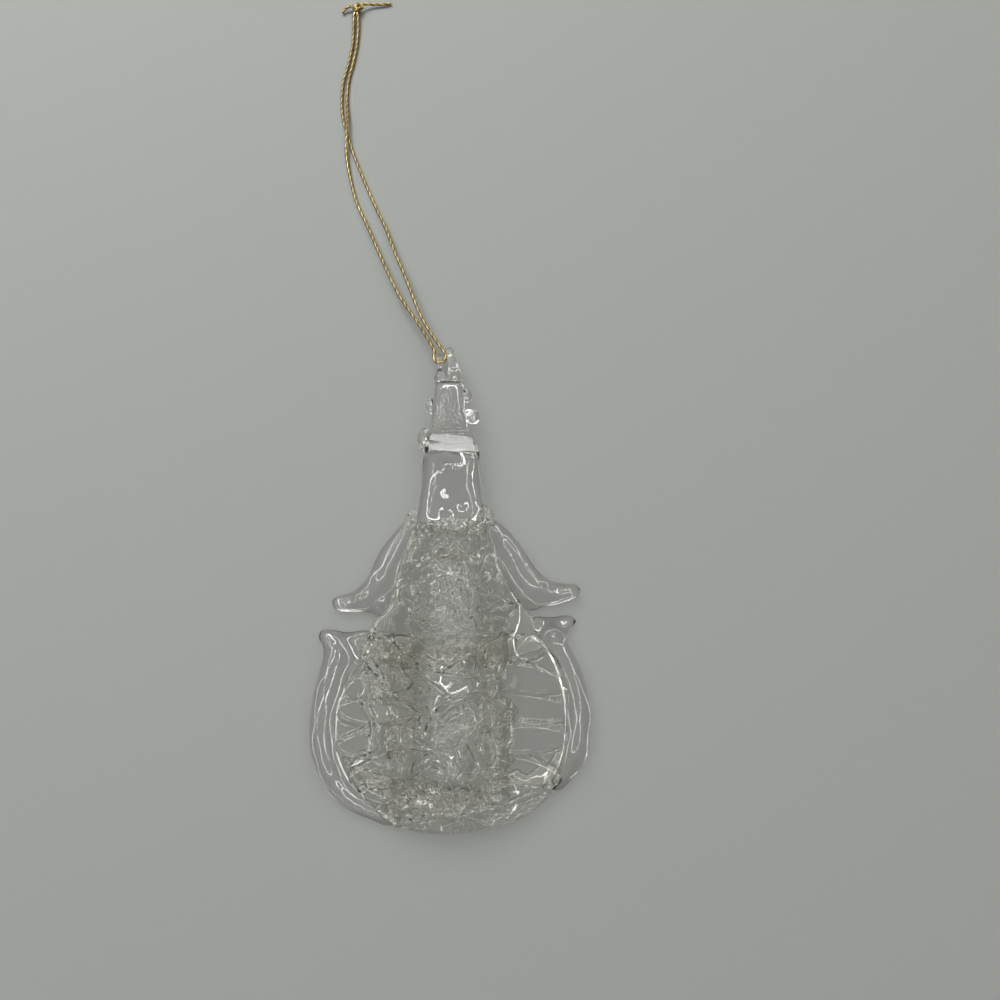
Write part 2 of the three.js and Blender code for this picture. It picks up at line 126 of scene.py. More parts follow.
def only(*pieces):
    """Selects these pieces alone and makes the first one active"""
    bpy.ops.object.select_all(action="DESELECT")
    for piece in pieces:
        piece.select_set(True)
    bpy.context.view_layer.objects.active = pieces[0]


def finish_with(piece, kind, **settings):
    """Adds a modifier with these settings and applies it"""
    only(piece)
    modifier = piece.modifiers.new(kind, kind)
    for setting, value in settings.items():
        setattr(modifier, setting, value)
    bpy.ops.object.modifier_apply(modifier=modifier.name)


def settle(piece):
    """Puts a piece's place into its mesh"""
    only(piece)
    bpy.ops.object.transform_apply(location=True, rotation=True, scale=True)


def placed(name, shape):
    """A new piece of this mesh or curve, selected alone"""
    piece = bpy.data.objects.new(name, shape)
    bpy.context.collection.objects.link(piece)
    only(piece)
    return piece


def as_mesh():
    """Makes the selected curve a mesh"""
    bpy.ops.object.convert(target="MESH")
    return bpy.context.active_object


def face_outwards(piece, merging=0):
    """Turns a closed shape's faces outwards, once corners that are this close are merged"""
    only(piece)
    bpy.ops.object.mode_set(mode="EDIT")
    bpy.ops.mesh.select_all(action="SELECT")
    if merging:
        bpy.ops.mesh.remove_doubles(threshold=merging)
    bpy.ops.mesh.normals_make_consistent(inside=False)
    bpy.ops.object.mode_set(mode="OBJECT")


def closed_shape(name, vertices, faces):
    """A piece with these corners and faces, which point outwards"""
    mesh = bpy.data.meshes.new(name)
    mesh.from_pydata(vertices, [], faces)
    piece = placed(name, mesh)
    face_outwards(piece)
    return piece


# A swelling ends where the squared distance from its middle is this many squared spreads, and the rings
# of its ripple stand closer together the larger the second number is
SWELLING_END = 6
RIPPLES = 14


def swell(piece, swellings):
    """Raises soft swellings of [x, y, spread, height, ripple] on the upper side; some have no ripple"""
    upward = [max(0, vertex.normal.z) for vertex in piece.data.vertices]
    for vertex, facing in zip(piece.data.vertices, upward):
        place = (vertex.co - BODY_FOOT) / MM
        for x, y, spread, height, *ripple in swellings:
            distance = ((place.x - x) ** 2 + (place.y - y) ** 2) / spread ** 2
            if distance < SWELLING_END:
                waves = sum(ripple) * math.sin(RIPPLES * distance)
                vertex.co.z += (height + waves) * MM * math.exp(-distance) * facing


def flatten(piece, share):
    """Lets soft glass sink to a share of its height over the table"""
    for vertex in piece.data.vertices:
        vertex.co.z *= share


# How each kind of piece melts: size of the grid beside the set one, and rounds of smoothing
MELTING = {
    "neck": (1.5, 9),
    "collar": (1, 6),
    "peg_box": (0.7, 5),
    "peg": (0.7, 3),
    "scroll": (0.7, 6),
    "eye": (0.6, 5),
    "bout": (1.9, 60),
    "bead": (0.6, 2),
    "front_lace": (1.1, 2),
    "petal": (1.4, 9),
    "back_lace": (1, 3),
}


def melt(name, parts, grid, kind, soft=False):
    """Melts closed shapes into one piece of glass with a smooth skin"""
    share, rounds = MELTING[kind]
    for part in parts:
        settle(part)
    only(*parts)
    if len(parts) > 1:
        bpy.ops.object.join()
    piece = bpy.context.active_object
    piece.name = name
    piece.data.name = name
    finish_with(piece, "REMESH", mode="VOXEL", voxel_size=grid * share)
    finish_with(piece, "SMOOTH", factor=0.5, iterations=rounds)
    if soft:
        finish_with(piece, "SUBSURF", levels=1)
    only(piece)
    bpy.ops.object.shade_smooth()
    return piece


def drawn_rod(stations, rounded=True):
    """A drawn glass rod through stations of [x, y, z, radius], with blunt ends"""
    curve = bpy.data.curves.new("rod", "CURVE")
    curve.dimensions = "3D"
    curve.bevel_depth = MM
    curve.bevel_resolution = 6
    curve.resolution_u = 12
    curve.use_fill_caps = True
    curve.use_radius = True
    spline = curve.splines.new("BEZIER")
    spline.radius_interpolation = "CARDINAL"
    spline.bezier_points.add(len(stations) - 1)
    for point, (x, y, z, radius) in zip(spline.bezier_points, stations):
        point.co = at((x, y, z))
        point.radius = radius
        point.handle_left_type = "AUTO"
        point.handle_right_type = "AUTO"
    placed("rod", curve)
    rod = as_mesh()
    if rounded:
        for x, y, z, radius in (stations[0], stations[-1]):
            bead = ball((x, y, z), (radius, radius, radius))
            only(rod, bead)
            bpy.ops.object.join()
    return rod


def ball(place, radii):
    """A ball of glass with a half width, half length and half depth"""
    bpy.ops.mesh.primitive_uv_sphere_add(segments=24, ring_count=16, radius=MM, location=at(place))
    piece = bpy.context.active_object
    piece.scale = radii
    settle(piece)
    return piece


SAME_CORNER = 0.01 * MM


def pool(outline, low, high):
    """A flat pool of glass inside a closed smooth outline of [x, y], between two heights"""
    curve = bpy.data.curves.new("pool", "CURVE")
    curve.dimensions = "2D"
    curve.fill_mode = "BOTH"
    curve.extrude = (high - low) / 2 * MM
    spline = curve.splines.new("BEZIER")
    spline.bezier_points.add(len(outline) - 1)
    spline.use_cyclic_u = True
    for point, (x, y) in zip(spline.bezier_points, outline):
        point.co = (x * MM, y * MM, 0)
        point.handle_left_type = "AUTO"
        point.handle_right_type = "AUTO"
    placed("pool", curve).location = at((0, 0, (low + high) / 2))
    flat = as_mesh()
    face_outwards(flat, SAME_CORNER)
    return flat


def sheet(rows):
    """A closed sheet of glass; each row is a list of (x, y, under side, upper side)"""
    vertices = []
    faces = []
    width = len(rows[0])
    for row in rows:
        vertices += [at((x, y, low)) for x, y, low, high in row]
        vertices += [at((x, y, high)) for x, y, low, high in row]
    for i in range(len(rows) - 1):
        here = 2 * width * i
        ahead = here + 2 * width
        for k in range(width - 1):
            faces.append((here + k, ahead + k, ahead + k + 1, here + k + 1))
            faces.append((here + width + k, here + width + k + 1, ahead + width + k + 1, ahead + width + k))
        faces.append((here, here + width, ahead + width, ahead))
        faces.append((here + width - 1, ahead + width - 1, ahead + 2 * width - 1, here + 2 * width - 1))
    last = 2 * width * (len(rows) - 1)
    for k in range(width - 1):
        faces.append((k, k + 1, width + k + 1, width + k))
        faces.append((last + k, last + width + k, last + width + k + 1, last + k + 1))
    return closed_shape("sheet", vertices, faces)


def looped_thread(name, runs):
    """Closed tubes of thread; each run is a list of (place in millimetres, radius)"""
    curve = bpy.data.curves.new(name, "CURVE")
    curve.dimensions = "3D"
    curve.bevel_depth = MM
    curve.bevel_resolution = 1
    curve.use_fill_caps = True
    for run in runs:
        spline = curve.splines.new("POLY")
        spline.points.add(len(run) - 1)
        for point, (place, radius) in zip(spline.points, run):
            point.co = (*at(place), 1)
            point.radius = radius
    placed(name, curve)
    return as_mesh()


def press_flat(piece):
    """Presses what would reach below the table up to it"""
    for vertex in piece.data.vertices:
        vertex.co.z = max(vertex.co.z, 0)


def dress(piece, material, slot, body, *nodes):
    """Gives a finished piece its material and its place in the frame"""
    piece.data.materials.clear()
    piece.data.materials.append(material)
    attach(piece, body)
    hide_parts(*nodes)


# Materials

def node_material(name):
    """A new material with its nodes, its links and its shader"""
    material = bpy.data.materials.new(name)
    material.use_nodes = True
    nodes = material.node_tree.nodes
    return material, nodes, material.node_tree.links, nodes["Principled BSDF"]


def glass_material(name, tint, ior, ripple_scale, ripple_strength, let_through):
    """Clear glass with a faint ripple; this share of the lamps' light goes through it to the table"""
    material, nodes, links, shader = node_material(name)
    shader.inputs["Base Color"].default_value = (*tint, 1)
    shader.inputs["Roughness"].default_value = 0
    shader.inputs["IOR"].default_value = ior
    shader.inputs["Transmission Weight"].default_value = 1
    place = nodes.new("ShaderNodeTexCoord")
    ripple = nodes.new("ShaderNodeTexNoise")
    ripple.inputs["Scale"].default_value = ripple_scale
    ripple.inputs["Detail"].default_value = 2
    links.new(place.outputs["Object"], ripple.inputs["Vector"])
    bump = nodes.new("ShaderNodeBump")
    bump.inputs["Strength"].default_value = ripple_strength
    bump.inputs["Distance"].default_value = 0.1 * MM
    links.new(ripple.outputs["Fac"], bump.inputs["Height"])
    links.new(bump.outputs["Normal"], shader.inputs["Normal"])
    lamp_light = nodes.new("ShaderNodeBsdfTransparent")
    lamp_light.inputs["Color"].default_value = (let_through, let_through, let_through, 1)
    path = nodes.new("ShaderNodeLightPath")
    mixed = nodes.new("ShaderNodeMixShader")
    links.new(path.outputs["Is Shadow Ray"], mixed.inputs["Fac"])
    links.new(shader.outputs["BSDF"], mixed.inputs[1])
    links.new(lamp_light.outputs["BSDF"], mixed.inputs[2])
    links.new(mixed.outputs["Shader"], nodes["Material Output"].inputs["Surface"])
    return material


def gold_material(settings):
    """Gold foil on the turns of the thread, with painted shade, a dark brown, in the grooves between them"""
    material, nodes, links, shader = node_material("gold_foil")
    shader.inputs["Metallic"].default_value = 0.85
    # How far each point stands out on its lobe: gold on the crests, painted shade in the grooves between
    # them
    depth = nodes.new("ShaderNodeAttribute")
    depth.attribute_name = "turn"
    ramp = nodes.new("ShaderNodeValToRGB")
    ramp.color_ramp.elements[0].position = 0.25
    ramp.color_ramp.elements[0].color = (*settings.core, 1)
    ramp.color_ramp.elements[1].position = 0.75
    ramp.color_ramp.elements[1].color = (*settings.gold, 1)
    links.new(depth.outputs["Fac"], ramp.inputs["Fac"])
    place = nodes.new("ShaderNodeTexCoord")
    wear = nodes.new("ShaderNodeTexNoise")
    wear.inputs["Scale"].default_value = 900
    links.new(place.outputs["Object"], wear.inputs["Vector"])
    shade = nodes.new("ShaderNodeMixRGB")
    shade.blend_type = "MULTIPLY"
    shade.inputs["Fac"].default_value = 0.5
    links.new(ramp.outputs["Color"], shade.inputs["Color1"])
    links.new(wear.outputs["Fac"], shade.inputs["Color2"])
    links.new(shade.outputs["Color"], shader.inputs["Base Color"])
    rough = nodes.new("ShaderNodeMapRange")
    rough.inputs["To Min"].default_value = 0.22
    rough.inputs["To Max"].default_value = 0.5
    links.new(wear.outputs["Fac"], rough.inputs["Value"])
    links.new(rough.outputs["Result"], shader.inputs["Roughness"])
    return material


def table_material(colour):
    material, nodes, links, shader = node_material("table")
    shader.inputs["Base Color"].default_value = (*colour, 1)
    shader.inputs["Roughness"].default_value = 0.75
    shader.inputs["Specular IOR Level"].default_value = 0.2
    return material


class Finishes:
    """The materials, made once by the first operator that needs one"""

    @staticmethod
    def glass():
        settings = bpy.context.scene.cello_glass
        found = bpy.data.materials.get("drawn_glass")
        return found or glass_material("drawn_glass", settings.tint, settings.ior, ripple_scale=260,
                                       ripple_strength=0.06, let_through=0.97)

    @staticmethod
    def lace():
        settings = bpy.context.scene.cello_glass
        found = bpy.data.materials.get("looped_glass")
        return found or glass_material("looped_glass", settings.spun_tint, settings.ior, ripple_scale=700,
                                       ripple_strength=0.08, let_through=0.96)

    @staticmethod
    def gold():
        return bpy.data.materials.get("gold_foil") or gold_material(bpy.context.scene.cello_thread)


# Camera, lamps and table

CAMERA_PLACE = (0.01035, -0.0375, 0.16621)
CAMERA_TURN = (math.radians(18), 0, math.radians(-1.223))
SENSOR_WIDTH = 36
NEAREST_SEEN = 0.005
TABLE_SIZE = 6
TABLE_DROP = 0.05 * MM
RING_PLACE = (0, 0.18, 0.8)
RING_RADIUS = 0.5
RING_INNER_SHARE = 0.92
CEILING_PLACE = (0, 0.3, 1.4)
CEILING_SIZE = 3.5
WINDOW_PLACE = (-0.45, 0.75, 0.8)
WINDOW_SIZE = 0.6
DOORWAY_PLACE = (0.1, -1.1, 0.75)
DOORWAY_WIDTH = 2
DOORWAY_DEPTH = 0.8
DOORWAY_SIDE = "seen_from_the_doorway"
LAMP_MIDDLE = (0.5, 0.5, 0)
FAR_SIDE_START = 0.15
FAR_SIDE_END = 0.8
LIGHT_BOUNCES = 32
BRIGHTEST_BOUNCE = 12


def lamp(name, shape, size, place, power):
    """A soft lamp that faces the ornament"""
    data = bpy.data.lights.new(name, "AREA")
    data.shape = shape
    data.size = size
    data.energy = power
    lamp_object = bpy.data.objects.new(name, data)
    lamp_object.location = place
    lamp_object.rotation_euler = (-Vector(place)).to_track_quat("-Z", "Y").to_euler()
    bpy.context.collection.objects.link(lamp_object)
    return lamp_object


def face_doorway(piece):
    """Lets a piece catch the glow of the doorway, which all others stay without"""
    side = bpy.data.collections.get(DOORWAY_SIDE)
    if side:
        side.objects.link(piece)


def ring_pattern(data, inner_share):
    """Leaves the middle of a round lamp dark"""
    data.use_nodes = True
    nodes = data.node_tree.nodes
    links = data.node_tree.links
    spot = nodes.new("ShaderNodeNewGeometry")
    distance = nodes.new("ShaderNodeVectorMath")
    distance.operation = "DISTANCE"
    distance.inputs[1].default_value = LAMP_MIDDLE
    links.new(spot.outputs["Parametric"], distance.inputs[0])
    outside = nodes.new("ShaderNodeMath")
    outside.operation = "GREATER_THAN"
    outside.inputs[1].default_value = inner_share / 2
    links.new(distance.outputs["Value"], outside.inputs[0])
    links.new(outside.outputs["Value"], nodes["Emission"].inputs["Strength"])


def room_colours(tree, stage):
    """A room that is a little darker and browner beyond the head of the ornament"""
    direction = tree.nodes.new("ShaderNodeTexCoord")
    parts = tree.nodes.new("ShaderNodeSeparateXYZ")
    tree.links.new(direction.outputs["Generated"], parts.inputs["Vector"])
    ramp = tree.nodes.new("ShaderNodeMapRange")
    ramp.inputs["From Min"].default_value = FAR_SIDE_START
    ramp.inputs["From Max"].default_value = FAR_SIDE_END
    tree.links.new(parts.outputs["Y"], ramp.inputs["Value"])
    colour = tree.nodes.new("ShaderNodeMixRGB")
    colour.inputs["Color1"].default_value = (*stage.surroundings, 1)
    colour.inputs["Color2"].default_value = (*stage.far_side, 1)
    tree.links.new(ramp.outputs["Result"], colour.inputs["Fac"])
    tree.links.new(colour.outputs["Color"], tree.nodes["Background"].inputs["Color"])


class CELLO_OT_stage(bpy.types.Operator):
    """Sets the table, the lamps and the camera"""
    bl_idname = "cello.stage"
    bl_label = "Stage"

    def execute(self, context):
        scene = context.scene
        stage = scene.cello_stage
        bpy.ops.object.select_all(action="DESELECT")
        bpy.ops.mesh.primitive_plane_add(size=TABLE_SIZE, location=(0, 0, -TABLE_DROP))
        table = context.active_object
        table.name = "table"
        table.data.materials.append(table_material(stage.table))

        world = bpy.data.worlds.new("room")
        world.use_nodes = True
        room_colours(world.node_tree, stage)
        scene.world = world
        world.cycles_visibility.diffuse = False

        ring = lamp("ring_lamp", "DISK", 2 * RING_RADIUS, RING_PLACE, stage.ring_light)
        ring_pattern(ring.data, RING_INNER_SHARE)
        ring.visible_diffuse = False
        lamp("ceiling", "SQUARE", CEILING_SIZE, CEILING_PLACE, stage.sky_light)
        window = lamp("window", "SQUARE", WINDOW_SIZE, WINDOW_PLACE, stage.window_light)
        window.visible_glossy = False
        window.visible_transmission = False
        doorway = lamp("doorway", "RECTANGLE", DOORWAY_WIDTH, DOORWAY_PLACE, stage.doorway_light)
        doorway.data.size_y = DOORWAY_DEPTH
        doorway.light_linking.receiver_collection = bpy.data.collections.new(DOORWAY_SIDE)
        doorway.visible_diffuse = False

        camera = bpy.data.objects.new("camera", bpy.data.cameras.new("camera"))
        camera.data.lens = stage.lens
        camera.data.sensor_width = SENSOR_WIDTH
        camera.data.clip_start = NEAREST_SEEN
        camera.location = CAMERA_PLACE
        camera.rotation_euler = CAMERA_TURN
        context.collection.objects.link(camera)
        scene.camera = camera
        scene.view_settings.view_transform = "Standard"
        # Light crosses many layers of glass on its way to the table
        scene.cycles.max_bounces = LIGHT_BOUNCES
        scene.cycles.transmission_bounces = LIGHT_BOUNCES
        scene.cycles.transparent_max_bounces = LIGHT_BOUNCES
        scene.cycles.caustics_reflective = False
        scene.cycles.caustics_refractive = False
        # These two keep the table bright behind the glass
        scene.cycles.sample_clamp_indirect = BRIGHTEST_BOUNCE
        scene.cycles.use_light_tree = False
        return {"FINISHED"}


# Gold thread: routes from the middle of the eye, in millimetres

BIGHT_LEFT = [(0, 0, 0), (-0.72, 0.2, 0), (-1.25, 0.8, -0.05), (-1.45, 2, -0.15), (-1.3, 3.3, -0.3)]
BIGHT_RIGHT = [(0, 0, 0), (0.72, 0.2, 0), (1.25, 0.8, 0), (1.35, 2, -0.05), (0.8, 3.3, -0.2)]
LEFT_ROUTE = [
    (-2.5, 6, -0.8), (-6.2, 13.2, -2.1), (-10.7, 21.3, -3.2), (-15.3, 32.4, -4.3),
    (-19.9, 44.3, -5.2), (-22.5, 50.6, -5.4), (-24.6, 58.5, -5.5), (-26, 66.7, -5.1),
    (-26.1, 73.7, -4.4), (-26.2, 79.5, -5), (-26.7, 85.9, -5.5), (-26.6, 92.5, -5.5),
    (-25.5, 99.5, -5.5), (-24.6, 107.5, -5.4), (-24.7, 116.3, -5),
]
RIGHT_ROUTE = [
    (-1.1, 6.6, -0.8), (-3.7, 11.6, -1.8), (-5.8, 16.6, -2.4), (-8.6, 25.1, -3.4),
    (-11.8, 33.9, -4.3), (-14.8, 42.8, -5), (-17.4, 49.1, -5.4), (-20.9, 58.1, -5.6),
    (-24.4, 67.9, -5.6), (-26.1, 73.9, -5.6), (-27.6, 79.5, -5.6), (-28.2, 85.9, -5.6),
    (-28, 92.5, -5.6), (-26.8, 99.5, -5.6), (-25.9, 107.5, -5.5), (-25.9, 116.3, -5),
]
KNOT_MIDDLE = Vector((-25.3, 119.3, -4.6))
LONG_TAIL = [(-24.3, 119.9, -4.4), (-22.6, 121, -4.8), (-20.2, 121.3, -5.2), (-17.6, 121.5, -5.4),
             (-15.2, 122.1, -5.5)]
SHORT_TAIL = [(-26.2, 119.9, -4.4), (-27.4, 120.2, -4.9), (-28.6, 119.6, -5.2), (-29.3, 118.5, -5.4)]
STRAND_STEP = 0.22
STRAND_SIDES = 12
LOBE_DEPTH = 0.16
LOBE_SHARPNESS = 1.5
CURVE_STEPS = 40

# The knot is two overhand loops, each with its shift from the knot's middle and its size
KNOT_LOOPS = [((0, 0, 0.1), 0.62), ((0.5, 0.35, -0.15), 0.55)]
KNOT_POINTS = 61
KNOT_START = 0.6
KNOT_CROSSING = 1.7
KNOT_DEPTH = 0.75
KNOT_SQUASH = 0.8


def smooth_line(points, step):
    """Evenly spaced places on a smooth curve through the points"""
    places = [Vector(point) for point in points]
    tangents = []
    for i, place in enumerate(places):
        before = places[max(i - 1, 0)]
        after = places[min(i + 1, len(places) - 1)]
        tangents.append((after - before).normalized())
    dense = []
    for i in range(len(places) - 1):
        reach = (places[i + 1] - places[i]).length / 3
        dense += interpolate_bezier(places[i], places[i] + tangents[i] * reach,
                                    places[i + 1] - tangents[i + 1] * reach, places[i + 1],
                                    CURVE_STEPS)[:-1]
    dense.append(places[-1])
    length = sum((b - a).length for a, b in zip(dense, dense[1:]))
    count = max(2, round(length / step))
    spaced = [dense[0]]
    travelled = 0
    for a, b in zip(dense, dense[1:]):
        travelled += (b - a).length
        if travelled >= length * len(spaced) / count:
            spaced.append(b)
    return spaced


def twisted_strand(name, lines, diameter, twist):
    """Two-ply thread along each line: a tube whose two lobes turn as it goes"""
    vertices = []
    faces = []
    turns = []
    for line in lines:
        first = len(vertices)
        side = Vector((0, 0, 1))
        travelled = 0
        for i, place in enumerate(line):
            ahead = (line[min(i + 1, len(line) - 1)] - line[max(i - 1, 0)]).normalized()
            side = (side - ahead * side.dot(ahead)).normalized()
            across = ahead.cross(side)
            travelled += (place - line[max(i - 1, 0)]).length
            twirl = 2 * math.pi * travelled / twist
            for k in range(STRAND_SIDES):
                angle = 2 * math.pi * k / STRAND_SIDES
                bulge = abs(math.cos(angle - twirl))
                radius = diameter / 2 * (1 - LOBE_DEPTH * (1 - bulge) ** LOBE_SHARPNESS)
                spoke = side * math.cos(angle) + across * math.sin(angle)
                vertices.append(at(EYE + place + spoke * radius))
                turns.append(bulge)
        for i in range(len(line) - 1):
            for k in range(STRAND_SIDES):
                a = first + i * STRAND_SIDES + k
                b = first + i * STRAND_SIDES + (k + 1) % STRAND_SIDES
                faces.append((a, b, b + STRAND_SIDES, a + STRAND_SIDES))
        faces.append([first + k for k in reversed(range(STRAND_SIDES))])
        last = len(vertices) - STRAND_SIDES
        faces.append([last + k for k in range(STRAND_SIDES)])
    strand = closed_shape(name, vertices, faces)
    # How far each point stands out on its lobe, which the gold material turns into painted shade in the
    # grooves
    turn = strand.data.attributes.new("turn", "FLOAT", "POINT")
    turn.data.foreach_set("value", turns)
    bpy.ops.object.shade_smooth()
    return strand


def knot_line(shift, size):
    """An overhand knot pulled tight"""
    places = []
    for i in range(KNOT_POINTS):
        turn = 2 * math.pi * i / KNOT_POINTS + KNOT_START
        x = math.sin(turn) + KNOT_CROSSING * math.sin(2 * turn)
        y = math.cos(turn) - KNOT_CROSSING * math.cos(2 * turn)
        z = -KNOT_DEPTH * math.sin(3 * turn)
        places.append(KNOT_MIDDLE + Vector(shift) + Vector((x, y * KNOT_SQUASH, z)) * size)
    return places


class CELLO_OT_gold_thread(bpy.types.Operator):
    """Lays the gold thread through the eye and knots its two ends"""
    bl_idname = "cello.gold_thread"
    bl_label = "Gold thread"

    def execute(self, context):
        settings = context.scene.cello_thread
        diameter = settings.diameter / MM
        twist = settings.twist / MM
        knot_lines = [knot_line(shift, size) for shift, size in KNOT_LOOPS]
        knot_lines += [smooth_line(tail, STRAND_STEP) for tail in (LONG_TAIL, SHORT_TAIL)]
        knot = twisted_strand("gold_knot", knot_lines, diameter, twist)
        press_flat(knot)
        dress(knot, Finishes.gold(), "gold_thread", "hanger", "cord_knot")
        for name, bight, route, node in (("gold_left", BIGHT_LEFT, LEFT_ROUTE, "cord_left_strand"),
                                         ("gold_right", BIGHT_RIGHT, RIGHT_ROUTE, "cord_right_strand")):
            line = smooth_line(bight + route + [tuple(KNOT_MIDDLE)], STRAND_STEP)
            strand = twisted_strand(name, [line], diameter, twist)
            press_flat(strand)
            dress(strand, Finishes.gold(), "gold_thread", "hanger", node, "cord_bight")
        return {"FINISHED"}


# Neck, collar and peg box

NECK_LENGTH = 17
COLLAR_LENGTH = 6.2
PEG_BOX_LENGTH = 12.3
HEAD_LENGTH = 10.1
COLLAR_FOOT = NECK_FOOT + NECK_LENGTH
PEG_BOX_FOOT = COLLAR_FOOT + COLLAR_LENGTH
HEAD_FOOT = PEG_BOX_FOOT + PEG_BOX_LENGTH
GLASS_LENGTH = HEAD_FOOT + HEAD_LENGTH
NECK_HEIGHT = 4.7
COLLAR_HEIGHT = 5.8
HEAD_HEIGHT = 4.9

# Bars through stations of [x, y, z, half width, half depth, lean], and rods of [x, y, z, radius] on them
NECK_BAR = [
    (0.7, NECK_FOOT - 0.4, NECK_HEIGHT - 0.8, 8, 2.2, 0),
    (0.7, NECK_FOOT + 2.6, NECK_HEIGHT - 0.4, 7.7, 2.7, 0),
    (0.7, NECK_FOOT + 7, NECK_HEIGHT, 7.1, 2.9, 0),
    (0.7, NECK_FOOT + 12, NECK_HEIGHT, 6.6, 3, 0),
    (0.7, COLLAR_FOOT + 0.9, NECK_HEIGHT - 0.3, 6.2, 2.6, 0),
]
NECK_EDGES = [
    [(7.2, NECK_FOOT + 3.4, 5.5, 1.1), (6.3, NECK_FOOT + 9, 6, 1.1), (5.4, COLLAR_FOOT - 0.4, 6.3, 1.1)],
    [(-6.3, NECK_FOOT + 3, 4.9, 0.7), (-5.2, COLLAR_FOOT - 0.4, 5.3, 0.7)],
]
COLLAR_BAR = [
    (0.8, COLLAR_FOOT + 0.1, COLLAR_HEIGHT - 0.6, 6.3, 1.9, 0.9),
    (0.75, COLLAR_FOOT + 1.2, COLLAR_HEIGHT - 0.5, 6.5, 2.5, 0.8),
    (0.65, COLLAR_FOOT + 2.3, COLLAR_HEIGHT - 0.3, 6.3, 3.35, 0.5),
    (0.6, COLLAR_FOOT + 3.4, COLLAR_HEIGHT, 5.9, 4, 0.3),
    (0.5, COLLAR_FOOT + 4.4, COLLAR_HEIGHT, 5.5, 4.15, 0.1),
    (0.4, PEG_BOX_FOOT - 0.1, COLLAR_HEIGHT - 0.5, 4.9, 3.2, 0),
]
PEG_BOX_BAR = [
    (0.2, PEG_BOX_FOOT - 0.4, HEAD_HEIGHT, 4.4, 2.4, 0),
    (0.1, PEG_BOX_FOOT + 6, HEAD_HEIGHT, 3.9, 2.6, 0),
    (0.2, HEAD_FOOT - 1.5, HEAD_HEIGHT, 3.5, 2.3, 0),
    (0.2, HEAD_FOOT, HEAD_HEIGHT, 3.1, 1.8, 0),
]
PEG_BOX_RIBS = [
    [(-0.6, PEG_BOX_FOOT + 9.2, 7.3, 0.6), (2.6, PEG_BOX_FOOT + 0.8, 7.3, 0.6)],
    [(-0.8, PEG_BOX_FOOT + 9.2, 7.3, 0.6), (-3, PEG_BOX_FOOT + 0.8, 7.3, 0.6)],
    [(-1.6, PEG_BOX_FOOT + 3.6, 7.5, 0.45), (0, PEG_BOX_FOOT + 6.2, 7.5, 0.45)],
    [(-0.9, PEG_BOX_FOOT + 2.4, 7.5, 0.45), (0.9, PEG_BOX_FOOT + 5.2, 7.5, 0.45)],
]
NECK_SQUARENESS = 3.4
COLLAR_SQUARENESS = 4.5
PEG_BOX_SQUARENESS = 3.4
BAR_SIDES = 48
BAR_STEPS = 8

# Soft swellings that the flame left: [x, y, spread, height], and the ripple's height where there is one
NECK_SWELLINGS = [(0, NECK_FOOT + 13.4, 2.6, 0.75, 0.04), (0, NECK_FOOT + 7.2, 1.4, 0.42, 0.015),
                  (3.2, NECK_FOOT + 4.6, 1.2, 0.38), (-0.3, NECK_FOOT + 3.4, 1.3, 0.4)]
BOUT_SWELLINGS = {
    "upper_left_bout": [(-15.2, 52.8, 3.2, 0.8), (-19.3, 47.8, 1.5, 0.7), (-14.5, 47.5, 1.6, 0.8),
                        (-15.7, 45.2, 1, 0.5)],
    "upper_right_bout": [(11.8, 59, 3, 0.9), (16.2, 48.6, 1.4, 0.7), (20, 49.2, 2, 0.7),
                         (26.6, 48.4, 1.4, 0.5)],
    "lower_left_bout": [(-22.4, 36.2, 2.2, 0.7), (-25.3, 29, 3, 0.4), (-26.1, 19, 3.4, 0.5),
                        (-24.2, 13, 2.4, 0.4)],
    "lower_right_bout": [(22.4, 39.4, 1.6, 0.8), (21.6, 36.2, 1.3, 0.6), (27, 24, 3.4, 0.5),
                         (25.4, 15.8, 2.6, 0.5)],
}


def smoothed(stations, steps):
    """Stations in between, on a smooth curve through all of a bar's values"""
    values = [Vector(station) for station in stations]
    between = []
    for i in range(len(values) - 1):
        rise = (values[min(i + 1, len(values) - 1)] - values[max(i - 1, 0)]) / (2 if i else 1)
        next_rise = (values[min(i + 2, len(values) - 1)] - values[i]) / (2 if i + 2 < len(values) else 1)
        for k in range(steps):
            t = k / steps
            between.append(values[i] * (2 * t ** 3 - 3 * t ** 2 + 1) + rise * (t ** 3 - 2 * t ** 2 + t)
                           + values[i + 1] * (3 * t ** 2 - 2 * t ** 3) + next_rise * (t ** 3 - t ** 2))
    return between + values[-1:]


def loft(stations, squareness):
    """A bar with a squared-off round section through stations of [x, y, z, half width, half depth, lean]"""
    vertices = []
    faces = []
    stations = smoothed(stations, BAR_STEPS)
    for x, y, z, half_width, half_depth, lean in stations:
        for k in range(BAR_SIDES):
            angle = 2 * math.pi * k / BAR_SIDES
            across = math.copysign(abs(math.cos(angle)) ** (2 / squareness), math.cos(angle))
            up = math.copysign(abs(math.sin(angle)) ** (2 / squareness), math.sin(angle))
            vertices.append(at((x + half_width * across, y - lean * across, z + half_depth * up)))
    for i in range(len(stations) - 1):
        for k in range(BAR_SIDES):
            a = i * BAR_SIDES + k
            b = i * BAR_SIDES + (k + 1) % BAR_SIDES
            faces.append((a, b, b + BAR_SIDES, a + BAR_SIDES))
    faces.append(list(reversed(range(BAR_SIDES))))
    faces.append([len(vertices) - BAR_SIDES + k for k in range(BAR_SIDES)])
    return closed_shape("loft", vertices, faces)


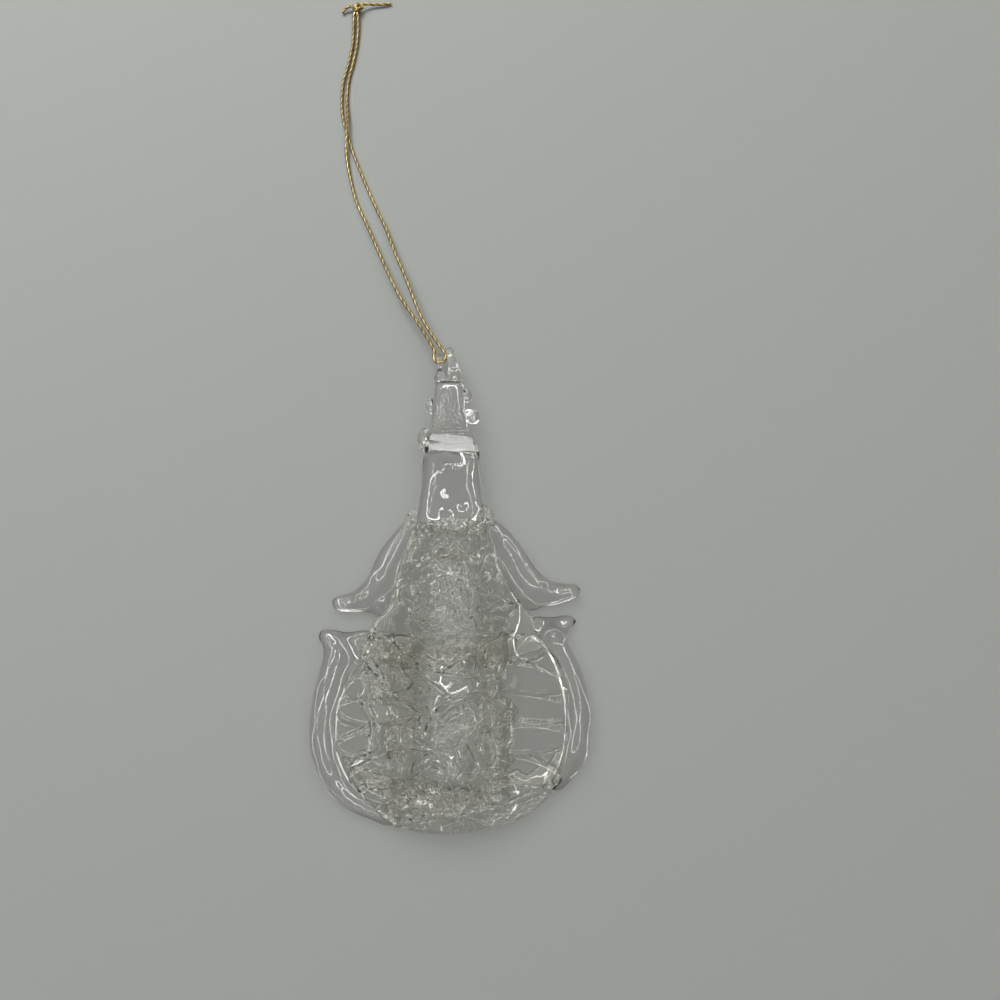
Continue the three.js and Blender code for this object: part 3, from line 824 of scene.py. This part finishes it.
class CELLO_OT_neck(bpy.types.Operator):
    """Shapes the neck with its raised edge, the collar and the peg box"""
    bl_idname = "cello.neck"
    bl_label = "Neck"

    def execute(self, context):
        grid = context.scene.cello_glass.melt
        glass = Finishes.glass()
        neck_parts = [loft(NECK_BAR, NECK_SQUARENESS), *map(drawn_rod, NECK_EDGES)]
        neck = melt("neck_glass", neck_parts, grid, "neck", soft=True)
        swell(neck, NECK_SWELLINGS)
        dress(neck, glass, "clear_glass", "glass", "neck")
        collar = melt("collar_glass", [loft(COLLAR_BAR, COLLAR_SQUARENESS)], grid, "collar")
        dress(collar, glass, "clear_glass", "glass", "collar")
        box_parts = [loft(PEG_BOX_BAR, PEG_BOX_SQUARENESS), *map(drawn_rod, PEG_BOX_RIBS)]
        box = melt("peg_box_glass", box_parts, grid, "peg_box")
        dress(box, glass, "clear_glass", "glass", "peg_box")
        face_doorway(collar)
        face_doorway(box)
        return {"FINISHED"}


# Pegs: name, middle, half width and half length

PEGS = [
    ("left_upper_peg", -3.9, 93.3, 1.7, 1.9),
    ("left_lower_peg", -5.3, 84.9, 1.9, 2.9),
    ("right_upper_peg", 4.2, 95.8, 1.6, 1.6),
    ("right_lower_peg", 5.6, 90.4, 1.8, 1.8),
]
PEG_HALF_DEPTH = 1.55
PEG_BELOW_HEAD = 0.2
# A smaller bead sits on each peg: how far it is shifted, and its size beside the peg's
PEG_BEAD_INWARD = 0.6
PEG_BEAD_UPWARD = 0.5
PEG_BEAD_RAISED = 0.5
PEG_BEAD_SHARES = (0.7, 0.6, 0.8)
# Side of the peg box that the pegs are cut off at: its middle, half width at the foot and taper
PEG_BOX_MIDDLE = 0.2
PEG_SEAT = 4.3
PEG_BOX_TAPER = 0.09


class CELLO_OT_pegs(bpy.types.Operator):
    """Sets the four blobs of glass that stand for the pegs"""
    bl_idname = "cello.pegs"
    bl_label = "Pegs"

    def execute(self, context):
        grid = context.scene.cello_glass.melt
        for node, x, y, half_width, half_length in PEGS:
            outward = math.copysign(1, x)
            size = (half_width, half_length, PEG_HALF_DEPTH)
            blob = ball((x, y, HEAD_HEIGHT - PEG_BELOW_HEAD), size)
            bead = ball((x - outward * PEG_BEAD_INWARD, y + PEG_BEAD_UPWARD, HEAD_HEIGHT + PEG_BEAD_RAISED),
                        [half * share for half, share in zip(size, PEG_BEAD_SHARES)])
            peg = melt(node + "_glass", [blob, bead], grid, "peg")
            half_box = PEG_SEAT - PEG_BOX_TAPER * (y - PEG_BOX_FOOT)
            box_side = BODY_FOOT.x + (PEG_BOX_MIDDLE + outward * half_box) * MM
            for vertex in peg.data.vertices:
                vertex.co.x = box_side + outward * max(0, outward * (vertex.co.x - box_side))
            dress(peg, Finishes.glass(), "clear_glass", "glass", node)
            face_doorway(peg)
        return {"FINISHED"}


# Head: rods of [x, y, z, radius], the ball at the end of the scroll rod, and the eye's ring

SCROLL_STEM = [(1.6, HEAD_FOOT + 0.1, 4.6, 2), (1.5, HEAD_FOOT + 2.2, 4.5, 1.8),
               (1.2, HEAD_FOOT + 5, 4.4, 1.25), (0.7, HEAD_FOOT + 7, 4.3, 0.95),
               (0.3, GLASS_LENGTH - 2, 4.3, 0.9)]
SCROLL_BALL = (0.2, GLASS_LENGTH - 1.35, 4.3)
SCROLL_BALL_RADIUS = 1.25
EYE_RADIUS = 1.7
EYE_ROD_RADIUS = 0.52
EYE_FOOT = [(-1.8, HEAD_FOOT + 0.1, HEAD_HEIGHT + 0.1, 1.6), (-2, HEAD_FOOT + 1.8, HEAD_HEIGHT + 0.6, 1.3),
            (EYE.x, EYE.y - 1.9, EYE.z - 0.2, 0.62)]


class CELLO_OT_head(bpy.types.Operator):
    """Draws the scroll rod with its ball and the eye for the thread"""
    bl_idname = "cello.head"
    bl_label = "Head"

    def execute(self, context):
        grid = context.scene.cello_glass.melt
        stem = drawn_rod(SCROLL_STEM, rounded=False)
        tip = ball(SCROLL_BALL, [SCROLL_BALL_RADIUS] * 3)
        scroll = melt("scroll_glass", [stem, tip], grid, "scroll")
        dress(scroll, Finishes.glass(), "clear_glass", "glass", "scroll_rod")
        bpy.ops.object.select_all(action="DESELECT")
        bpy.ops.mesh.primitive_torus_add(major_radius=EYE_RADIUS * MM, minor_radius=EYE_ROD_RADIUS * MM,
                                         major_segments=32, minor_segments=12, location=at(EYE),
                                         rotation=(0, math.pi / 2, 0))
        loop = bpy.context.active_object
        foot = drawn_rod(EYE_FOOT, rounded=False)
        eye = melt("eye_glass", [loop, foot], grid, "eye")
        dress(eye, Finishes.glass(), "clear_glass", "glass", "cord_eye")
        return {"FINISHED"}


# Bouts: each is a pool of [x, y] that the lace lies on, with drawn rods of [x, y, z, radius] along it
# and beads of [x, y, z, radius] where it is welded to the neck

UPPER_LEFT = {
    "pool": [(-8.3, 66.6), (-12.3, 62.9), (-15.1, 57.6), (-17.3, 53.4), (-21.6, 49.8), (-22.4, 46),
             (-18.6, 45.5), (-15.6, 44.2), (-11.6, 46.2), (-9.9, 54), (-7.4, 62)],
    "rods": [
        [(-9.4, 65, 3.4, 1.4), (-11.4, 61.6, 3.2, 2.1), (-13.6, 56.8, 3.2, 2.9), (-15, 52.6, 3.2, 3.1),
         (-18, 49.4, 2.9, 2.6), (-21.4, 47.8, 2.6, 2), (-24, 47.6, 2.7, 2.2)],
    ],
    "beads": [(-7.9, 67.2, 5.2, 0.95), (-8.8, 65.9, 4.8, 1), (-7.7, 65.3, 5.4, 0.8),
              (-9.2, 64.5, 4.2, 0.9), (-8, 63.9, 5, 0.7)],
}
UPPER_RIGHT = {
    "pool": [(9.6, 66), (13.6, 62.4), (16.7, 57.4), (19.6, 53.2), (24, 50.7), (25, 46.8),
             (21, 45.8), (18, 44.8), (14.2, 47.6), (10.6, 54.6), (8, 62)],
    "rods": [
        [(9.4, 65.2, 3.4, 1.5), (12.1, 61.6, 3.2, 2.3), (14.9, 57, 3.2, 2.9), (17.4, 52.4, 3.2, 3.1),
         (21, 49.2, 3, 2.9), (24.8, 48.8, 2.8, 2.4), (27.4, 49.2, 2.6, 2.1)],
    ],
    "beads": [(8, 67.6, 5.2, 1), (9.2, 66.2, 4.8, 1.1), (7.6, 66.1, 5.6, 0.9), (8.4, 64.8, 5, 1),
              (9.8, 64.6, 4.2, 0.8), (7.4, 64, 5.2, 0.8)],
}
LOWER_LEFT = {
    "pool": [(-27.4, 41.9), (-22.6, 41.3), (-16.4, 41.1), (-18.6, 34), (-22.2, 28.6), (-23.6, 22),
             (-22.6, 15), (-18.6, 9), (-9.4, 3.2), (-11.4, 1.9), (-17.6, 4.2), (-23.8, 8.2),
             (-27.8, 15.2), (-29.1, 23), (-28.3, 31), (-26, 36.8)],
    "rods": [
        [(-26.7, 40.4, 2.7, 2.1), (-24.8, 38.4, 2.9, 2.4), (-24.5, 35.4, 3.1, 2.8), (-25.4, 31, 3.1, 2.9),
         (-26.4, 26.4, 3, 2.8), (-26.7, 21.6, 3, 2.8), (-25.9, 16, 3, 2.8), (-23.4, 10.8, 2.8, 2.6),
         (-19, 6.4, 2.2, 2), (-14, 3.9, 1.8, 1.4)],
    ],
}
LOWER_RIGHT = {
    "pool": [(18, 43.8), (22, 43.6), (27.4, 43.5), (26.8, 41.4), (25.6, 39.4), (27.3, 34), (29.4, 28),
             (29.9, 21), (28.3, 14.2), (24.8, 9.6), (21.4, 7.8), (20.6, 10), (23.4, 14), (24.4, 20),
             (24, 29), (21.6, 35.4), (17.6, 40)],
    "rods": [
        [(22.4, 39.8, 2.8, 2.3), (24, 36, 2.9, 2.5), (25.6, 31.6, 3.1, 2.8), (26.8, 26.6, 3.1, 2.9),
         (27, 21.4, 3.1, 2.9), (26, 15.6, 3, 2.8), (23.2, 10.8, 2.6, 2.2)],
        [(22.6, 41.6, 2.4, 1.7), (25.4, 42.1, 2.3, 1.4), (27.3, 42.5, 2.1, 1.1)],
    ],
}
BOUTS = {"upper_left_bout": UPPER_LEFT, "upper_right_bout": UPPER_RIGHT,
         "lower_left_bout": LOWER_LEFT, "lower_right_bout": LOWER_RIGHT}
POOL_LOW = 0.3
POOL_HIGH = 3.2
BOUT_FLATNESS = 0.78


class CELLO_OT_bouts(bpy.types.Operator):
    """Draws the four bouts and sets them on the table"""
    bl_idname = "cello.bouts"
    bl_label = "Bouts"

    def execute(self, context):
        grid = context.scene.cello_glass.melt
        for node, parts in BOUTS.items():
            rods = [drawn_rod(rod) for rod in parts["rods"]]
            bout = melt(node + "_glass", [pool(parts["pool"], POOL_LOW, POOL_HIGH), *rods], grid, "bout",
                        soft=True)
            flatten(bout, BOUT_FLATNESS)
            swell(bout, BOUT_SWELLINGS[node])
            if "beads" in parts:
                beads = melt("beads", [ball((x, y, z), (radius, radius, radius))
                                       for x, y, z, radius in parts["beads"]], grid, "bead")
                only(bout, beads)
                bpy.ops.object.join()
            press_flat(bout)
            dress(bout, Finishes.glass(), "clear_glass", "glass", node)
        return {"FINISHED"}


# Lace: looped thread on a front that swells up to a ridge down the middle

SIDE_HEIGHT = 3.4
RIDGE_HEIGHT = 10.4
RIDGE_HALF_WIDTH = 17
# Distances over which the ridge rises, below the neck, and falls, above the foot
RIDGE_RISE = (-9, 15)
RIDGE_FALL = (-7, 15)
# How far a course's ends bend up, for each squared millimetre from the middle
SMILE = 0.011

# Edges of the front lace: place up the body, reach to the left and to the right
LACE_EDGES = [
    (66, 7.3, 8.2), (60, 9.3, 9.6), (54.5, 10.9, 11.4), (50, 11.7, 13.7), (46, 13, 16.3), (43.8, 15.6, 17.8),
    (41, 17.1, 18.4), (37.5, 18.7, 20.8), (34, 20.4, 23.4), (30, 22.2, 24.9), (24.8, 23.9, 25.3),
    (19, 23.8, 24.7), (15, 22.2, 24.2), (11, 20, 22.7), (7, 16.9, 20.6), (4, 13.4, 16.8), (2, 10, 12.4),
    (0.3, 5.4, 6.4),
]
BELT_HALF_WIDTH = 12.8
LEFT_SPREAD = 4.5

# Groups of courses that melt into one sheet: foot and top on the middle line, limit to the side
GROUPS_OF_COURSES = {
    "upper": (35, 64.2, 30, ["throat_lace_1", "throat_lace_2", "throat_lace_3", "shoulder_lace",
                             "waist_lace"]),
    "belly": (7, 35.2, BELT_HALF_WIDTH, ["belly_lace_1", "belly_lace_2", "belly_lace_3", "belly_lace_4"]),
    "hem": (0.6, 7.2, 30, ["foot_lace"]),
}
# No group is below one that starts lower than this, and none is above one that ends higher than this
LOWEST_FOOT = 1
HIGHEST_TOP = 60

# Where two groups meet, each runs on by a scarf and thins out in a wavy seam; the sides thin out too
SCARF = 2.6
SCARF_EDGE = 0.35
SEAM_WAVE = 2
SEAM_PACE = 0.4
SIDE_FALL = (-0.5, 3.5)

# Threads of each group: how many, height over the front, thickness, size of the curls, length per area
RUNS = {
    "upper": [(6, -0.3, 0.66, 0.6, 0.18), (4, -0.25, 0.8, 1.1, 0.12), (2, -0.2, 1, 2, 0.1),
              (3, -2.35, 0.7, 0.8, 0.17)],
    "belly": [(4, -0.15, 1.1, 2.6, 0.13), (4, -0.2, 0.75, 1.3, 0.12), (3, -0.25, 0.6, 0.7, 0.1),
              (2, -2.3, 1, 1.7, 0.16)],
    "hem": [(3, -0.3, 1.1, 2, 0.16), (3, -0.25, 0.7, 1, 0.16), (2, -2.3, 0.8, 1.2, 0.15)],
}
THREAD_STEP = 0.35
THREAD_INSET = 0.6
THREAD_START = 6
CURL_TURN = 0.45
CURL_SWING = 2.2
CURL_PACE = 0.45
LIFT_PACE = 0.4
LIFT_WAVE = 0.35
THREAD_UNEVENNESS = 0.25

# The sheet of melted glass under the threads
SHEET_ROW = 0.7
SHEET_COLUMNS = 40
SHEET_SINK = 0.75
SHEET_WAVE = 0.5
SHEET_DEPTH = 1.7
SHEET_FOOT = 2
LEFT_STRAY = 9
RIGHT_STRAY = 3
# Height and pace of the waves in which the sheet's sides stray
STRAY_WAVES = [(5, 0.16), (2.4, 0.45)]

# Curls that run up over the foot of the neck
FOOT_CURLS = 9
FOOT_CURL_SPACING = 1.7
FOOT_CURL_RISE = 0.3
FOOT_CURL_STRAYS = (-0.5, 0.6)
FOOT_CURL_RADII = (0.9, 1.4)
FOOT_CURL_HEIGHT = 7.3
FOOT_CURL_FALL = 0.045
FOOT_CURL_THREAD = 0.85
FOOT_CURL_POINTS = 26
FOOT_CURL_TURN = 0.28
FOOT_CURL_CLOSING = 0.012
NECK_MIDDLE = 0.7


def eased(value, low, high):
    """Rises smoothly from 0 at the low value to 1 at the high one"""
    share = min(1, max(0, (value - low) / (high - low)))
    return share * share * (3 - 2 * share)


def front_height(x, y):
    """Height of the front over the table"""
    rise = eased(NECK_FOOT - y, *RIDGE_RISE)
    fall = eased(y, *RIDGE_FALL)
    arch = 0.5 + 0.5 * math.cos(math.pi * min(1, abs(x) / RIDGE_HALF_WIDTH))
    return SIDE_HEIGHT + (RIDGE_HEIGHT - SIDE_HEIGHT) * rise * fall * arch


def inner_edge(side, y):
    """How far out the lace reaches on a side, at a height up the body"""
    column = 1 if side < 0 else 2
    if y >= LACE_EDGES[0][0]:
        return LACE_EDGES[0][column]
    for above, below in zip(LACE_EDGES, LACE_EDGES[1:]):
        if y >= below[0]:
            share = (y - below[0]) / (above[0] - below[0])
            return below[column] + (above[column] - below[column]) * share
    return LACE_EDGES[-1][column]


@lru_cache(maxsize=None)
def course_edge(side, y, bend, limit):
    """How far out a course reaches at the height it has on the middle line"""
    reach = 12
    for _ in range(6):
        reach = min(limit, inner_edge(side, y + bend * reach * reach))
    return side * reach


def laid(x, y, lift, thickness):
    """A point of thread on the front, this far above it, in millimetres"""
    return (x, y, front_height(x, y) + lift), thickness / 2


def wandering_run(dice, foot, top, limit, lift, thickness, curl, length, bend):
    """Thread that wanders in curls over a group of courses and turns back at its edges"""
    run = []
    y = dice.uniform(foot, top)
    x = dice.uniform(-THREAD_START, THREAD_START)
    heading = dice.uniform(0, 2 * math.pi)
    step = min(THREAD_STEP, curl / 4)
    seed = dice.uniform(0, 1000)
    for i in range(int(length / step)):
        bending = noise.noise(Vector((i * step * CURL_PACE / curl, seed, 0)))
        heading += (CURL_SWING * bending + CURL_TURN) * step / curl
        x += step * math.cos(heading)
        y += step * math.sin(heading)
        left = course_edge(-1, round(y, 1), bend, limit + LEFT_SPREAD) + thickness / 2
        right = course_edge(1, round(y, 1), bend, limit) - thickness / 2
        if not left < x < right:
            x = min(max(x, left), right)
            heading = math.pi - heading
        if not foot < y < top:
            y = min(max(y, foot), top)
            heading = -heading
        wave = noise.noise(Vector((i * step * LIFT_PACE / curl, 0, seed)))
        run.append(laid(x, y + bend * x * x, lift + LIFT_WAVE * wave,
                        thickness * (1 + THREAD_UNEVENNESS * wave)))
    return run


def strayed(y, seed):
    """How far the side of a sheet strays out or in, in large and in small waves"""
    return sum(height * noise.noise(Vector((y * pace, 0, seed))) for height, pace in STRAY_WAVES)


def melted_sheet(foot, top, limit, bend):
    """The melted glass under a group's loops; it thins out towards the groups over and under it"""
    rows = []
    row_count = round((top - foot) / SHEET_ROW)
    for i in range(row_count + 1):
        y = foot + (top - foot) * i / row_count
        over_next = eased(y, foot, foot + 2 * SCARF) if foot > LOWEST_FOOT else 1
        under_next = 1 - eased(y, top - 2 * SCARF, top) if top < HIGHEST_TOP else 1
        left = course_edge(-1, y, bend, limit + LEFT_SPREAD + strayed(y, LEFT_STRAY))
        right = course_edge(1, y, bend, limit + strayed(y, RIGHT_STRAY))
        row = []
        for k in range(SHEET_COLUMNS + 1):
            x = left + (right - left) * k / SHEET_COLUMNS
            at_side = k in (0, SHEET_COLUMNS)
            stray = 0 if at_side else SEAM_WAVE * noise.noise(Vector((x * SEAM_PACE, 0, foot)))
            py = y + bend * x * x + stray * (1 - over_next + 1 - under_next)
            wave = noise.noise(Vector((x * 0.25, py * 0.25, 5)))
            high = front_height(x, py) - SHEET_SINK + SHEET_WAVE * wave
            low = max(SHEET_FOOT, high - SHEET_DEPTH)
            depth = high - low - SCARF_EDGE
            inward = eased(min(x - left, right - x), *SIDE_FALL)
            row.append((x, py, high - SCARF_EDGE - depth * over_next,
                        low + SCARF_EDGE + depth * min(under_next, inward)))
        rows.append(row)
    return sheet(rows)


def foot_curls(dice):
    """Curls of thread that run up over the foot of the neck"""
    runs = []
    for i in range(FOOT_CURLS):
        x = NECK_MIDDLE + (i - (FOOT_CURLS - 1) / 2) * FOOT_CURL_SPACING
        y = NECK_FOOT + FOOT_CURL_RISE + dice.uniform(*FOOT_CURL_STRAYS)
        radius = dice.uniform(*FOOT_CURL_RADII)
        start = dice.uniform(0, 2 * math.pi)
        height = FOOT_CURL_HEIGHT - FOOT_CURL_FALL * (x - NECK_MIDDLE) ** 2
        run = []
        for k in range(FOOT_CURL_POINTS):
            turn = start + k * FOOT_CURL_TURN
            reach = radius * (1 - FOOT_CURL_CLOSING * k)
            run.append(((x + reach * math.cos(turn), y + reach * math.sin(turn), height),
                        FOOT_CURL_THREAD / 2))
        runs.append(run)
    return runs


class CELLO_OT_front_lace(bpy.types.Operator):
    """Lays the courses of looped thread down the front"""
    bl_idname = "cello.front_lace"
    bl_label = "Front lace"

    def execute(self, context):
        lace = context.scene.cello_lace
        for k, (group, (foot, top, limit, nodes)) in enumerate(GROUPS_OF_COURSES.items()):
            dice = random.Random(lace.seed + k)
            area = (top - foot) * (course_edge(1, (foot + top) / 2, SMILE, limit)
                                   - course_edge(-1, (foot + top) / 2, SMILE, limit))
            foot -= SCARF if foot > LOWEST_FOOT else 0
            top += SCARF if top < HIGHEST_TOP else 0
            low = foot + THREAD_INSET
            high = top - (2 * SCARF if top < HIGHEST_TOP else THREAD_INSET)
            runs = foot_curls(dice) if top > HIGHEST_TOP else []
            for count, lift, thickness, curl, share in RUNS[group]:
                for _ in range(count):
                    runs.append(wandering_run(dice, low, high, limit + curl, lift, thickness, curl,
                                              area * share, SMILE))
            thread = looped_thread(group, runs)
            piece = melt(group + "_glass", [melted_sheet(foot, top, limit, SMILE), thread], lace.melt,
                         "front_lace")
            dress(piece, Finishes.lace(), "spun_glass", "glass", *nodes)
        return {"FINISHED"}


# Side petals: how many, how far out they start, and their foot and top up the body

PETALS = 5
PETAL_INNER = 7
PETAL_FOOT = 9
PETAL_TOP = 40
PETAL_OVERLAP = 0.5
PETAL_POINTS = 20
PETAL_WIDTHS = (0.84, 1)
PETAL_LEANS = (-0.3, 0.05)
PETAL_INSET = 0.7
PETAL_GAP = 0.2
PETAL_HEIGHT = 1.9
PETAL_STEP = 0.35
PETAL_BELOW = 0.3
PETAL_ABOVE = 0.8
PETAL_RIM = 0.38
PETAL_RIM_ABOVE = 0.75

# The thin glass under them, and the thread along their outer ends
FILM_ROWS = 30
FILM_COLUMNS = 8
FILM_LOW = 1.5
FILM_HIGH = 2
FILM_RISE = 0.3
FILM_WAVES = 0.7
FILM_STRAY = 2
BORDER_FOOT = PETAL_FOOT - 2
BORDER_LENGTH = PETAL_TOP + 6 - PETAL_FOOT
BORDER_POINTS = 60
BORDER_OUTWARD = 0.1
BORDER_HEIGHT = 2.3
BORDER_RADIUS = 0.36


def petal_outline(dice, side, y, half_height):
    """The outline of one petal, from the belly out to the bout"""
    outer = inner_edge(side, y) + PETAL_OVERLAP
    half_width = (outer - PETAL_INNER) / 2 * dice.uniform(*PETAL_WIDTHS)
    x = side * (outer - half_width - PETAL_INSET)
    lean = side * dice.uniform(*PETAL_LEANS)
    outline = []
    for k in range(PETAL_POINTS):
        turn = 2 * math.pi * k / PETAL_POINTS
        px = half_width * math.cos(turn)
        outline.append((x + px, y + lean * px + half_height * math.sin(turn)))
    return outline


def petal_film(side):
    """The thin glass under the petals, with a wavy upper end"""
    rows = []
    for i in range(FILM_ROWS + 1):
        y = PETAL_FOOT + (PETAL_TOP - PETAL_FOOT) * i / FILM_ROWS
        outer = inner_edge(side, y) + PETAL_OVERLAP
        row = []
        for k in range(FILM_COLUMNS + 1):
            x = side * (PETAL_INNER + (outer - PETAL_INNER) * k / FILM_COLUMNS)
            stray = FILM_STRAY * i / FILM_ROWS * noise.noise(Vector((x * SEAM_PACE, 0, side)))
            rise = FILM_RISE * math.sin(math.pi * k / FILM_COLUMNS) * math.sin(FILM_WAVES * y)
            row.append((x, y + stray, FILM_LOW, FILM_HIGH + rise))
        rows.append(row)
    return sheet(rows)


def petal_border(side):
    """The thread along the outer ends of the petals"""
    border = []
    for k in range(BORDER_POINTS):
        y = BORDER_FOOT + BORDER_LENGTH * k / (BORDER_POINTS - 1)
        border.append(((side * (inner_edge(side, y) + BORDER_OUTWARD), y, BORDER_HEIGHT), BORDER_RADIUS))
    return border


class CELLO_OT_petals(bpy.types.Operator):
    """Lays the long loops between the belly and the lower bouts"""
    bl_idname = "cello.petals"
    bl_label = "Side petals"

    def execute(self, context):
        lace = context.scene.cello_lace
        pitch = (PETAL_TOP - PETAL_FOOT) / PETALS
        for side, node in ((-1, "left_petal_lace"), (1, "right_petal_lace")):
            dice = random.Random(lace.seed + 50 + side)
            runs = []
            parts = []
            for i in range(PETALS):
                outline = petal_outline(dice, side, PETAL_FOOT + pitch * (i + 0.5), pitch / 2 - PETAL_GAP)
                height = PETAL_HEIGHT + PETAL_STEP * (i % 2)
                parts.append(pool(outline, height - PETAL_BELOW, height + PETAL_ABOVE))
                rim_height = height + PETAL_RIM_ABOVE
                runs.append([((px, py, rim_height), PETAL_RIM) for px, py in outline + outline[:2]])
            parts.append(petal_film(side))
            runs.append(petal_border(side))
            parts.append(looped_thread(node, runs))
            piece = melt(node + "_glass", parts, lace.melt, "petal", soft=True)
            dress(piece, Finishes.lace(), "spun_glass", "glass", node)
        return {"FINISHED"}


# Back lace: flat courses, each of two rows of loops

BACK_LACE = 5
BACK_HEIGHT = 1.15
BACK_HALF_WIDTH = 14
BACK_ROWS = (0.25, 0.75)
LOOP_PITCH = 4.2
LOOP_POINTS = 14
LOOP_WIDTHS = (0.75, 1.05)
LOOP_HEIGHT = 0.8
LOOP_HEIGHT_UNEVENNESS = 0.45
LOOP_WIDTH_UNEVENNESS = 0.4
LOOP_SHIFT = 0.3
LOOP_THREAD_UNEVENNESS = 0.18


def cursive_run(dice, left, right, y, half_height, thickness):
    """Thread laid flat in loops, as in joined-up writing, from left to right"""
    run = []
    phase = dice.uniform(0, 2 * math.pi)
    count = max(1, round((right - left) / LOOP_PITCH))
    half_width = LOOP_PITCH * dice.uniform(*LOOP_WIDTHS)
    for i in range(count * LOOP_POINTS + 1):
        loop = i / LOOP_POINTS
        turn = 2 * math.pi * loop + phase
        uneven = noise.noise(Vector((loop * 0.9, y, phase)))
        taller = noise.noise(Vector((phase, loop * 0.7, y)))
        tall = half_height * (LOOP_HEIGHT + LOOP_HEIGHT_UNEVENNESS * taller)
        x = left + half_width + (right - left - 2 * half_width) * loop / count
        x += half_width * math.cos(turn) * (1 + LOOP_WIDTH_UNEVENNESS * uneven)
        py = y + tall * math.sin(turn) + LOOP_SHIFT * half_height * uneven
        run.append(((x, py, BACK_HEIGHT), thickness * (1 + LOOP_THREAD_UNEVENNESS * uneven) / 2))
    return run


class CELLO_OT_back_lace(bpy.types.Operator):
    """Lays the flat courses at the back, that the body lies on"""
    bl_idname = "cello.back_lace"
    bl_label = "Back lace"

    def execute(self, context):
        lace = context.scene.cello_lace
        coarse = lace.coarse / MM
        for k in range(BACK_LACE):
            node = f"back_lace_{k + 1}"
            dice = random.Random(lace.seed + 80 + k)
            low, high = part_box(node)
            left = (low[0] - BODY_FOOT.x) / MM + coarse / 2
            right = (high[0] - BODY_FOOT.x) / MM - coarse / 2
            foot = (low[1] - BODY_FOOT.y) / MM
            top = (high[1] - BODY_FOOT.y) / MM
            left = max(left, -BACK_HALF_WIDTH)
            right = min(right, BACK_HALF_WIDTH)
            runs = [cursive_run(dice, left, right, foot + (top - foot) * row, (top - foot) / 4, coarse)
                    for row in BACK_ROWS]
            thread = looped_thread(node, runs)
            piece = melt(node + "_glass", [thread], lace.melt, "back_lace")
            dress(piece, Finishes.lace(), "spun_glass", "glass", node)
        return {"FINISHED"}


OPERATORS = [CELLO_OT_stage, CELLO_OT_gold_thread, CELLO_OT_neck, CELLO_OT_pegs, CELLO_OT_head,
             CELLO_OT_bouts, CELLO_OT_front_lace, CELLO_OT_petals, CELLO_OT_back_lace]
GROUPS = {"cello_stage": CelloStage, "cello_glass": CelloGlass, "cello_lace": CelloLace,
          "cello_thread": CelloThread}


class CELLO_PT_making(bpy.types.Panel):
    """Lists the steps in the order in which they are made"""
    bl_label = "Glass cello"
    bl_idname = "CELLO_PT_making"
    bl_space_type = "VIEW_3D"
    bl_region_type = "UI"
    bl_category = "Cello"

    def draw(self, context):
        for name, group in GROUPS.items():
            for setting in group.__annotations__:
                self.layout.prop(getattr(context.scene, name), setting)
        for operator in OPERATORS:
            self.layout.operator(operator.bl_idname)


def register():
    for name, group in GROUPS.items():
        bpy.utils.register_class(group)
        setattr(bpy.types.Scene, name, PointerProperty(type=group))
    for operator in OPERATORS:
        bpy.utils.register_class(operator)
    bpy.utils.register_class(CELLO_PT_making)


def unregister():
    bpy.utils.unregister_class(CELLO_PT_making)
    for operator in reversed(OPERATORS):
        bpy.utils.unregister_class(operator)
    for name, group in GROUPS.items():
        delattr(bpy.types.Scene, name)
        bpy.utils.unregister_class(group)


def main():
    register()
    bpy.ops.cello.stage()
    bpy.ops.cello.gold_thread()
    bpy.ops.cello.neck()
    bpy.ops.cello.pegs()
    bpy.ops.cello.head()
    bpy.ops.cello.bouts()
    bpy.ops.cello.front_lace()
    bpy.ops.cello.petals()
    bpy.ops.cello.back_lace()


if __name__ == "__main__":
    main()
